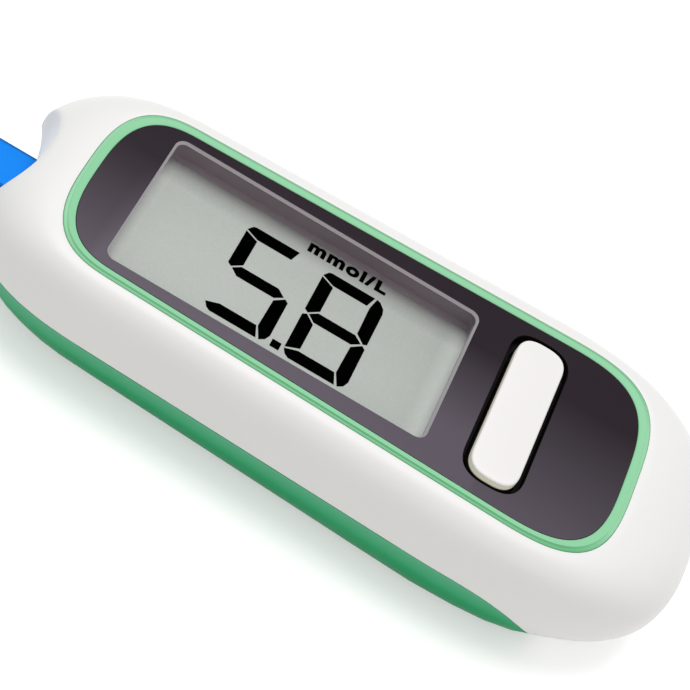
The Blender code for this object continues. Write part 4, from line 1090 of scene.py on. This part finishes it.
class METER_OT_display_panel(bpy.types.Operator):
    """Build the glossy dark panel with its window, the window's rim and bezel, and the clear pane"""
    bl_idname = "meter.display_panel"
    bl_label = "Display panel"

    def execute(self, context):
        sizes = context.scene.meter_sizes
        panel = new_piece(
            "display_panel", prism(PANEL.points(), DECK_TOP, BODY_HEIGHT),
            (finish_of("panel_print"),), "housing",
        )
        panel_cut = (DECK_TOP - CUT_THROUGH, BODY_HEIGHT + CUT_THROUGH)
        carve(panel, window_block(sizes, 0, *panel_cut), prism(opening_outline(sizes), *panel_cut))
        eased(panel, PANEL_EDGE)
        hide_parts("display_lens")
        self.build_rim(sizes)
        self.build_bezel(sizes)
        self.build_pane(sizes)
        self.build_well(sizes)
        return {"FINISHED"}

    def build_well(self, sizes):
        """Black well that the button sits in."""
        outer, inner = opening_outline(sizes), button_outline(WELL_INNER_GAP, sizes)
        wall = between(outer, inner, WELL_WALL_SHARE)
        top, underside = BODY_HEIGHT - WELL_RIM_DROP, WELL_FLOOR - WELL_SHEET
        rings = [
            level(outer, underside), level(outer, top), level(wall, top), level(wall, WELL_FLOOR),
            level(inner, WELL_FLOOR), level(inner, underside), level(outer, underside),
        ]
        well = new_piece("button_well", wrapped(rings), (finish_of("well_black"),), "housing")

    def build_rim(self, sizes):
        """Pale chamfered lip round the window."""
        top = BODY_HEIGHT - HAIR
        low = top - WINDOW_CHAMFER
        profile = ((-HAIR, low - LINER), (-HAIR, top), (-WINDOW_CHAMFER, low), (-HAIR, low - LINER))
        rim = new_piece(
            "window_rim", wrapped([level(window_outline(sizes, grow), z) for grow, z in profile]),
            (finish_of("window_rim"),), "housing",
        )

    def build_bezel(self, sizes):
        """Frame between the panel and the display, seen as the far wall of the window."""
        low, deck, high = LCD_TOP + 2 * HAIR, DECK_TOP - HAIR, BODY_HEIGHT - WINDOW_CHAMFER - LINER
        profile = (
            (BEZEL_WALL, low), (BEZEL_WALL, deck), (-HAIR, deck), (-HAIR, high), (-LINER, high),
            (-LINER, LEDGE_TOP),
        )
        rings = [level(window_outline(sizes, grow), z) for grow, z in profile]
        rings.append(level([(x, min(y, LEDGE_FAR)) for x, y in window_outline(sizes, -LINER)], low))
        rings.append(rings[0])
        bezel = new_piece("window_bezel", wrapped(rings), (finish_of("window_bezel"),), "housing")

    def build_pane(self, sizes):
        """Clear pane in the window, just under its chamfer."""
        top = BODY_HEIGHT - WINDOW_CHAMFER
        pane = new_piece(
            "clear_pane", window_block(sizes, -WINDOW_CHAMFER - 2 * HAIR, top - PANE_THICKNESS, top),
            (finish_of("clear_pane"),), "housing",
        )
        eased(pane, PANE_EDGE)


class METER_OT_reading(bpy.types.Operator):
    """Build the dark segments of the reading and its unit on the face of the display"""
    bl_idname = "meter.reading"
    bl_label = "Reading"

    digits: StringProperty(name="Digits", description="Reading shown on the display", default="5.8")
    unit: StringProperty(name="Unit", description="Unit of the reading", default="mmol/L")

    lit = {
        "0": "abcdef", "1": "bc", "2": "abdeg", "3": "abcdg", "4": "bcfg",
        "5": "acdfg", "6": "acdefg", "7": "abc", "8": "abcdefg", "9": "abcdfg",
    }

    def execute(self, context):
        sizes = context.scene.meter_sizes
        x, y = READING_START
        for index, sign in enumerate(self.digits):
            if sign == ".":
                self.build_point(x - DIGIT_PITCH + sizes.digit_width / MM + POINT_GAP, y + POINT_RISE)
                continue
            self.build_digit(f"reading_digit_{index + 1}", sign, x, y, sizes)
            x += DIGIT_PITCH
            y -= DIGIT_DROP
        self.build_unit(context, sizes)
        return {"FINISHED"}

    def segments(self, sizes):
        """Corner points of the seven segments, with their outer corners cut and their ends mitred."""
        w, h = sizes.digit_width / MM, sizes.digit_height / MM
        s, half_gap = sizes.digit_stroke / MM, sizes.digit_gap / MM / 2
        mid = h / 2
        upper, lower = mid + half_gap, mid - half_gap
        bar, tip, neck, heel = SEGMENT_BAR, SEGMENT_TIP, SEGMENT_NECK, SEGMENT_HEEL
        return {
            "a": [(0.02, h - 0.9), (0.5, h - 0.12), (0.95, h), (w - s, h), (w - s - 0.5, h - s), (s, h - s)],
            "b": [
                (w - s + 0.28, h), (w - 0.85, h - 0.14), (w - 0.2, h - 0.85), (w, h - 1.6), (w, mid + 0.35),
                (w - heel, upper), (w - s, mid + neck), (w - s - 0.08, h - s - 0.12),
            ],
            "c": [
                (w - heel, lower), (w, mid - heel), (w + 0.02, 1.3), (w - 0.3, 0.5), (w - 0.95, 0),
                (w - s - 0.12, s + 0.1), (w - s, mid - neck),
            ],
            "d": [(0.02, 1.0), (s, s), (w - s - 0.3, s), (w - s + 0.28, 0), (0.95, 0), (0.45, 0.3)],
            "e": [(0.5, lower), (0, mid - heel), (0.02, 1.25), (s + 0.1, s + 0.45), (s + 0.1, mid - neck)],
            "f": [
                (0, h - 1.15), (s + 0.1, h - s - 0.28), (s + 0.1, mid + neck), (0.5, upper), (0, mid + heel),
            ],
            "g": [
                (tip, mid), (s + 0.02, mid + bar), (w - s - 0.1, mid + bar), (w - tip, mid),
                (w - s - 0.1, mid - bar), (s + 0.02, mid - bar),
            ],
        }

    def build_digit(self, name, sign, x, y, sizes):
        bm = bmesh.new()
        for segment in self.lit[sign]:
            self.lay(bm, [(x + px, y + py) for px, py in self.segments(sizes)[segment]])
        self.place_ink(name, bm)

    def build_point(self, x, y):
        bm = bmesh.new()
        wide, tall = POINT_SIZE
        self.lay(bm, [(x, y), (x + wide, y), (x + wide, y + tall), (x, y + tall)])
        self.place_ink("reading_point", bm)

    @staticmethod
    def lay(bm, corners):
        """One flat patch of ink, raised to its thickness."""
        face = bm.faces.new([bm.verts.new((px, py, LCD_TOP + HAIR / 2)) for px, py in corners])
        raised = bmesh.ops.extrude_face_region(bm, geom=[face])
        top = [item for item in raised["geom"] if isinstance(item, bmesh.types.BMVert)]
        bmesh.ops.translate(bm, verts=top, vec=(0, 0, INK_THICKNESS))

    @staticmethod
    def place_ink(name, bm):
        patch = new_piece(name, bm, (finish_of("display_ink"),), "housing")

    def build_unit(self, context, sizes):
        """The unit in heavy letters, turned from a text curve into a mesh."""
        curve = bpy.data.curves.new("unit_text", "FONT")
        curve.body = self.unit
        curve.size = UNIT_LETTERS
        curve.offset = UNIT_WEIGHT
        curve.space_character = UNIT_SPACING
        curve.extrude = INK_THICKNESS / 2
        text = bpy.data.objects.new("unit_text", curve)
        context.scene.collection.objects.link(text)
        context.view_layer.update()
        graph = context.evaluated_depsgraph_get()
        mesh = bpy.data.meshes.new_from_object(text.evaluated_get(graph), depsgraph=graph)
        bm = bmesh.new()
        bm.from_mesh(mesh)
        bpy.data.objects.remove(text, do_unlink=True)
        bpy.data.meshes.remove(mesh)
        bmesh.ops.remove_doubles(bm, verts=bm.verts[:], dist=WELD)
        across, up = [vert.co.x for vert in bm.verts], [vert.co.y for vert in bm.verts]
        wide = UNIT_WIDTH / (max(across) - min(across))
        tall = sizes.unit_height / MM / (max(up) - min(up))
        bmesh.ops.translate(bm, verts=bm.verts[:], vec=(-min(across), -min(up), INK_THICKNESS / 2))
        bmesh.ops.scale(bm, verts=bm.verts[:], vec=(wide, tall, 1))
        bmesh.ops.translate(bm, verts=bm.verts[:], vec=(*UNIT_PLACE, LCD_TOP + HAIR / 2))
        self.place_ink("reading_unit", bm)


class METER_OT_display_layers(bpy.types.Operator):
    """Finish the layers of the liquid crystal cell, its frame and its rubber strips"""
    bl_idname = "meter.display_layers"
    bl_label = "Display layers"

    def execute(self, context):
        repaint({
            "lcd_front_polariser": "display_face",
            "lcd_front_glass": "display_glass",
            "lcd_rear_glass": "display_glass",
            "lcd_reflector": "display_face",
            "lcd_frame": "black_plastic",
            "zebra_strip_far": "conductive_rubber",
            "zebra_strip_near": "conductive_rubber",
        })
        return {"FINISHED"}


class METER_OT_button(bpy.types.Operator):
    """Build the raised button with its rounded edge, and finish the carrier and switch under it"""
    bl_idname = "meter.button"
    bl_label = "Button"

    # How far in from the edge, and how far under the top
    crown = ((0.9, 0.06), (1.5, 0.03), (2.2, 0.01), (2.9, 0.0))

    def execute(self, context):
        sizes = context.scene.meter_sizes
        rings = [level(button_outline(0, sizes), BUTTON_FOOT)]
        for row in range(ROUND_ROWS + 1):
            angle = 0.5 * math.pi * row / ROUND_ROWS
            inward = BUTTON_ROUNDING * (1 - math.cos(angle))
            z = BUTTON_TOP - BUTTON_EDGE_DROP - BUTTON_ROUNDING * (1 - math.sin(angle))
            rings.append(level(button_outline(-inward, sizes), z))
        for inward, drop in self.crown:
            rings.append(level(button_outline(-inward, sizes), BUTTON_TOP - drop))
        cap = new_piece("button_cap", closed(rings), (finish_of("button_cap"),), "button")
        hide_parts("main_button")
        repaint({
            "button_carrier": "black_plastic",
            "tact_switch_body": "black_plastic",
            "tact_switch_plunger": "steel",
        })
        return {"FINISHED"}


class METER_OT_battery(bpy.types.Operator):
    """Build the battery door and the coin cell, and finish the contacts"""
    bl_idname = "meter.battery"
    bl_label = "Battery and door"

    def execute(self, context):
        door = dressed("battery_door", "battery_door", finish_of("green_housing"), ease=DOOR_EDGE)
        for node, name, slot, ease in (
            ("coin_cell_can", "cell_steel", "steel", CELL_CAN_EDGE),
            ("coin_cell_cap", "cell_steel", "steel", CELL_CAP_EDGE),
            ("coin_cell_gasket", "black_plastic", "black_plastic", 0.0),
        ):
            dressed(node, "housing", finish_of(name), ease=ease)
        repaint({"battery_contact_positive": "spring_gold", "battery_contact_negative": "spring_gold"})
        return {"FINISHED"}


class METER_OT_screws(bpy.types.Operator):
    """Build the four housing screws with eased heads"""
    bl_idname = "meter.screws"
    bl_label = "Housing screws"

    def execute(self, context):
        for node in sorted(frame["nodes"]):
            if node.startswith("housing_screw"):
                dressed(node, "housing", finish_of("steel"), ease=SCREW_EDGE)
        return {"FINISHED"}


class METER_OT_test_strip(bpy.types.Operator):
    """Build the two films of the test strip"""
    bl_idname = "meter.test_strip"
    bl_label = "Test strip"

    def execute(self, context):
        cover = dressed("test_strip_cover", "test_strip", finish_of("strip_cover_film"), ease=STRIP_EDGE)
        base = dressed("test_strip_base", "test_strip", finish_of("strip_base_film"), ease=STRIP_EDGE)
        return {"FINISHED"}


class METER_OT_inner_parts(bpy.types.Operator):
    """Finish the circuit board, its parts and the strip connector"""
    bl_idname = "meter.inner_parts"
    bl_label = "Inner parts"

    def execute(self, context):
        nodes = {
            "circuit_board": "circuit_laminate",
            "microcontroller": "chip_epoxy",
            "analog_chip": "chip_epoxy",
            "memory_chip": "chip_epoxy",
            "crystal": "steel",
            "strip_connector": "connector_plastic",
        }
        for node in frame["nodes"]:
            if node.startswith("capacitor"):
                nodes[node] = "ceramic"
            if node.startswith("strip_contact"):
                nodes[node] = "spring_gold"
        repaint(nodes)
        return {"FINISHED"}


# Stage


class METER_OT_stage(bpy.types.Operator):
    """Lay the pale floor and set the lamps, the world and the camera"""
    bl_idname = "meter.stage"
    bl_label = "Stage"

    def execute(self, context):
        self.lay_floor()
        self.set_world(context.scene)
        self.hang_lamp(context, "key_lamp", **KEY_LAMP)
        self.hang_lamp(context, "front_lamp", **FRONT_LAMP)
        self.place_camera(context)
        context.scene.view_settings.view_transform = "Standard"
        return {"FINISHED"}

    @staticmethod
    def lay_floor():
        """Round pale floor, which glows where the camera or a mirror sees it, as a white table does."""
        bm = bmesh.new()
        bmesh.ops.create_circle(bm, cap_ends=True, segments=64, radius=FLOOR_RADIUS)
        finish = Finish("pale_floor", Roughness=0.9, Emission_Strength=FLOOR_GLOW)
        grain = finish.noise(900.0)
        finish.set(
            Base_Color=finish.mix(grain, (0.84, 0.85, 0.85), (0.86, 0.87, 0.87)),
            Emission_Color=finish.mix(finish.background_rays(), BLACK, WHITE),
        )
        floor = new_piece("floor", bm, (finish.material,), place=Matrix.Identity(4), outward=False)

    @staticmethod
    def set_world(scene):
        """White room, which gives the pieces less light than the camera sees."""
        world = bpy.data.worlds.new("pale_room")
        scene.world = world
        world.use_nodes = True
        graph = Graph(world.node_tree)
        background = world.node_tree.nodes["Background"]
        background.inputs["Color"].default_value = (*WHITE, 1.0)
        strength = graph.background_rays().spread(0.0, 1.0, ROOM_LIGHT, 1.0)
        graph.tree.links.new(strength.socket, background.inputs["Strength"])

    @staticmethod
    def hang_lamp(context, name, place, size, power, tint):
        """Round lamp that points at the middle of the frame."""
        lamp = bpy.data.lights.new(name, "AREA")
        lamp.shape = "DISK"
        lamp.size = size
        lamp.energy = power
        lamp.color = tint
        holder = bpy.data.objects.new(name, lamp)
        context.scene.collection.objects.link(holder)
        holder.location = place
        holder.rotation_euler = Vector(place).to_track_quat("Z", "Y").to_euler()

    @staticmethod
    def place_camera(context):
        view = bpy.data.cameras.new("photo_view")
        view.sensor_width = CAMERA_SENSOR
        view.lens = CAMERA_LENS
        view.clip_start, view.clip_end = CAMERA_CLIP
        camera = bpy.data.objects.new("photo_view", view)
        context.scene.collection.objects.link(camera)
        camera.rotation_mode = "QUATERNION"
        camera.location = Vector(CAMERA_PLACE) * MM
        camera.rotation_quaternion = Quaternion(CAMERA_TURN)
        context.scene.camera = camera


class METER_PT_panel(bpy.types.Panel):
    """Lists the build steps, sizes and colours of the meter"""
    bl_label = "Blood glucose meter"
    bl_idname = "METER_PT_panel"
    bl_space_type = "VIEW_3D"
    bl_region_type = "UI"
    bl_category = "Meter"

    def draw(self, context):
        for step in STEPS:
            self.layout.operator(step.bl_idname)
        for group in (context.scene.meter_sizes, context.scene.meter_colours):
            box = self.layout.box()
            for key in group.bl_rna.properties.keys():
                if key not in ("rna_type", "name"):
                    box.prop(group, key)


STEPS = (
    METER_OT_top_cover,
    METER_OT_bottom_cover,
    METER_OT_trim_ring,
    METER_OT_display_panel,
    METER_OT_reading,
    METER_OT_display_layers,
    METER_OT_button,
    METER_OT_battery,
    METER_OT_screws,
    METER_OT_test_strip,
    METER_OT_inner_parts,
    METER_OT_stage,
)
CLASSES = (MeterSizes, MeterColours, *STEPS, METER_PT_panel)


def register():
    for item in CLASSES:
        bpy.utils.register_class(item)
    bpy.types.Scene.meter_sizes = PointerProperty(type=MeterSizes)
    bpy.types.Scene.meter_colours = PointerProperty(type=MeterColours)


def unregister():
    del bpy.types.Scene.meter_sizes
    del bpy.types.Scene.meter_colours
    for item in reversed(CLASSES):
        bpy.utils.unregister_class(item)


def main():
    register()
    for item in list(bpy.data.objects):
        if item.name in ("Cube", "Light", "Camera"):
            bpy.data.objects.remove(item, do_unlink=True)
    for step in STEPS:
        group, name = step.bl_idname.split(".")
        getattr(getattr(bpy.ops, group), name)()


if __name__ == "__main__":
    main()
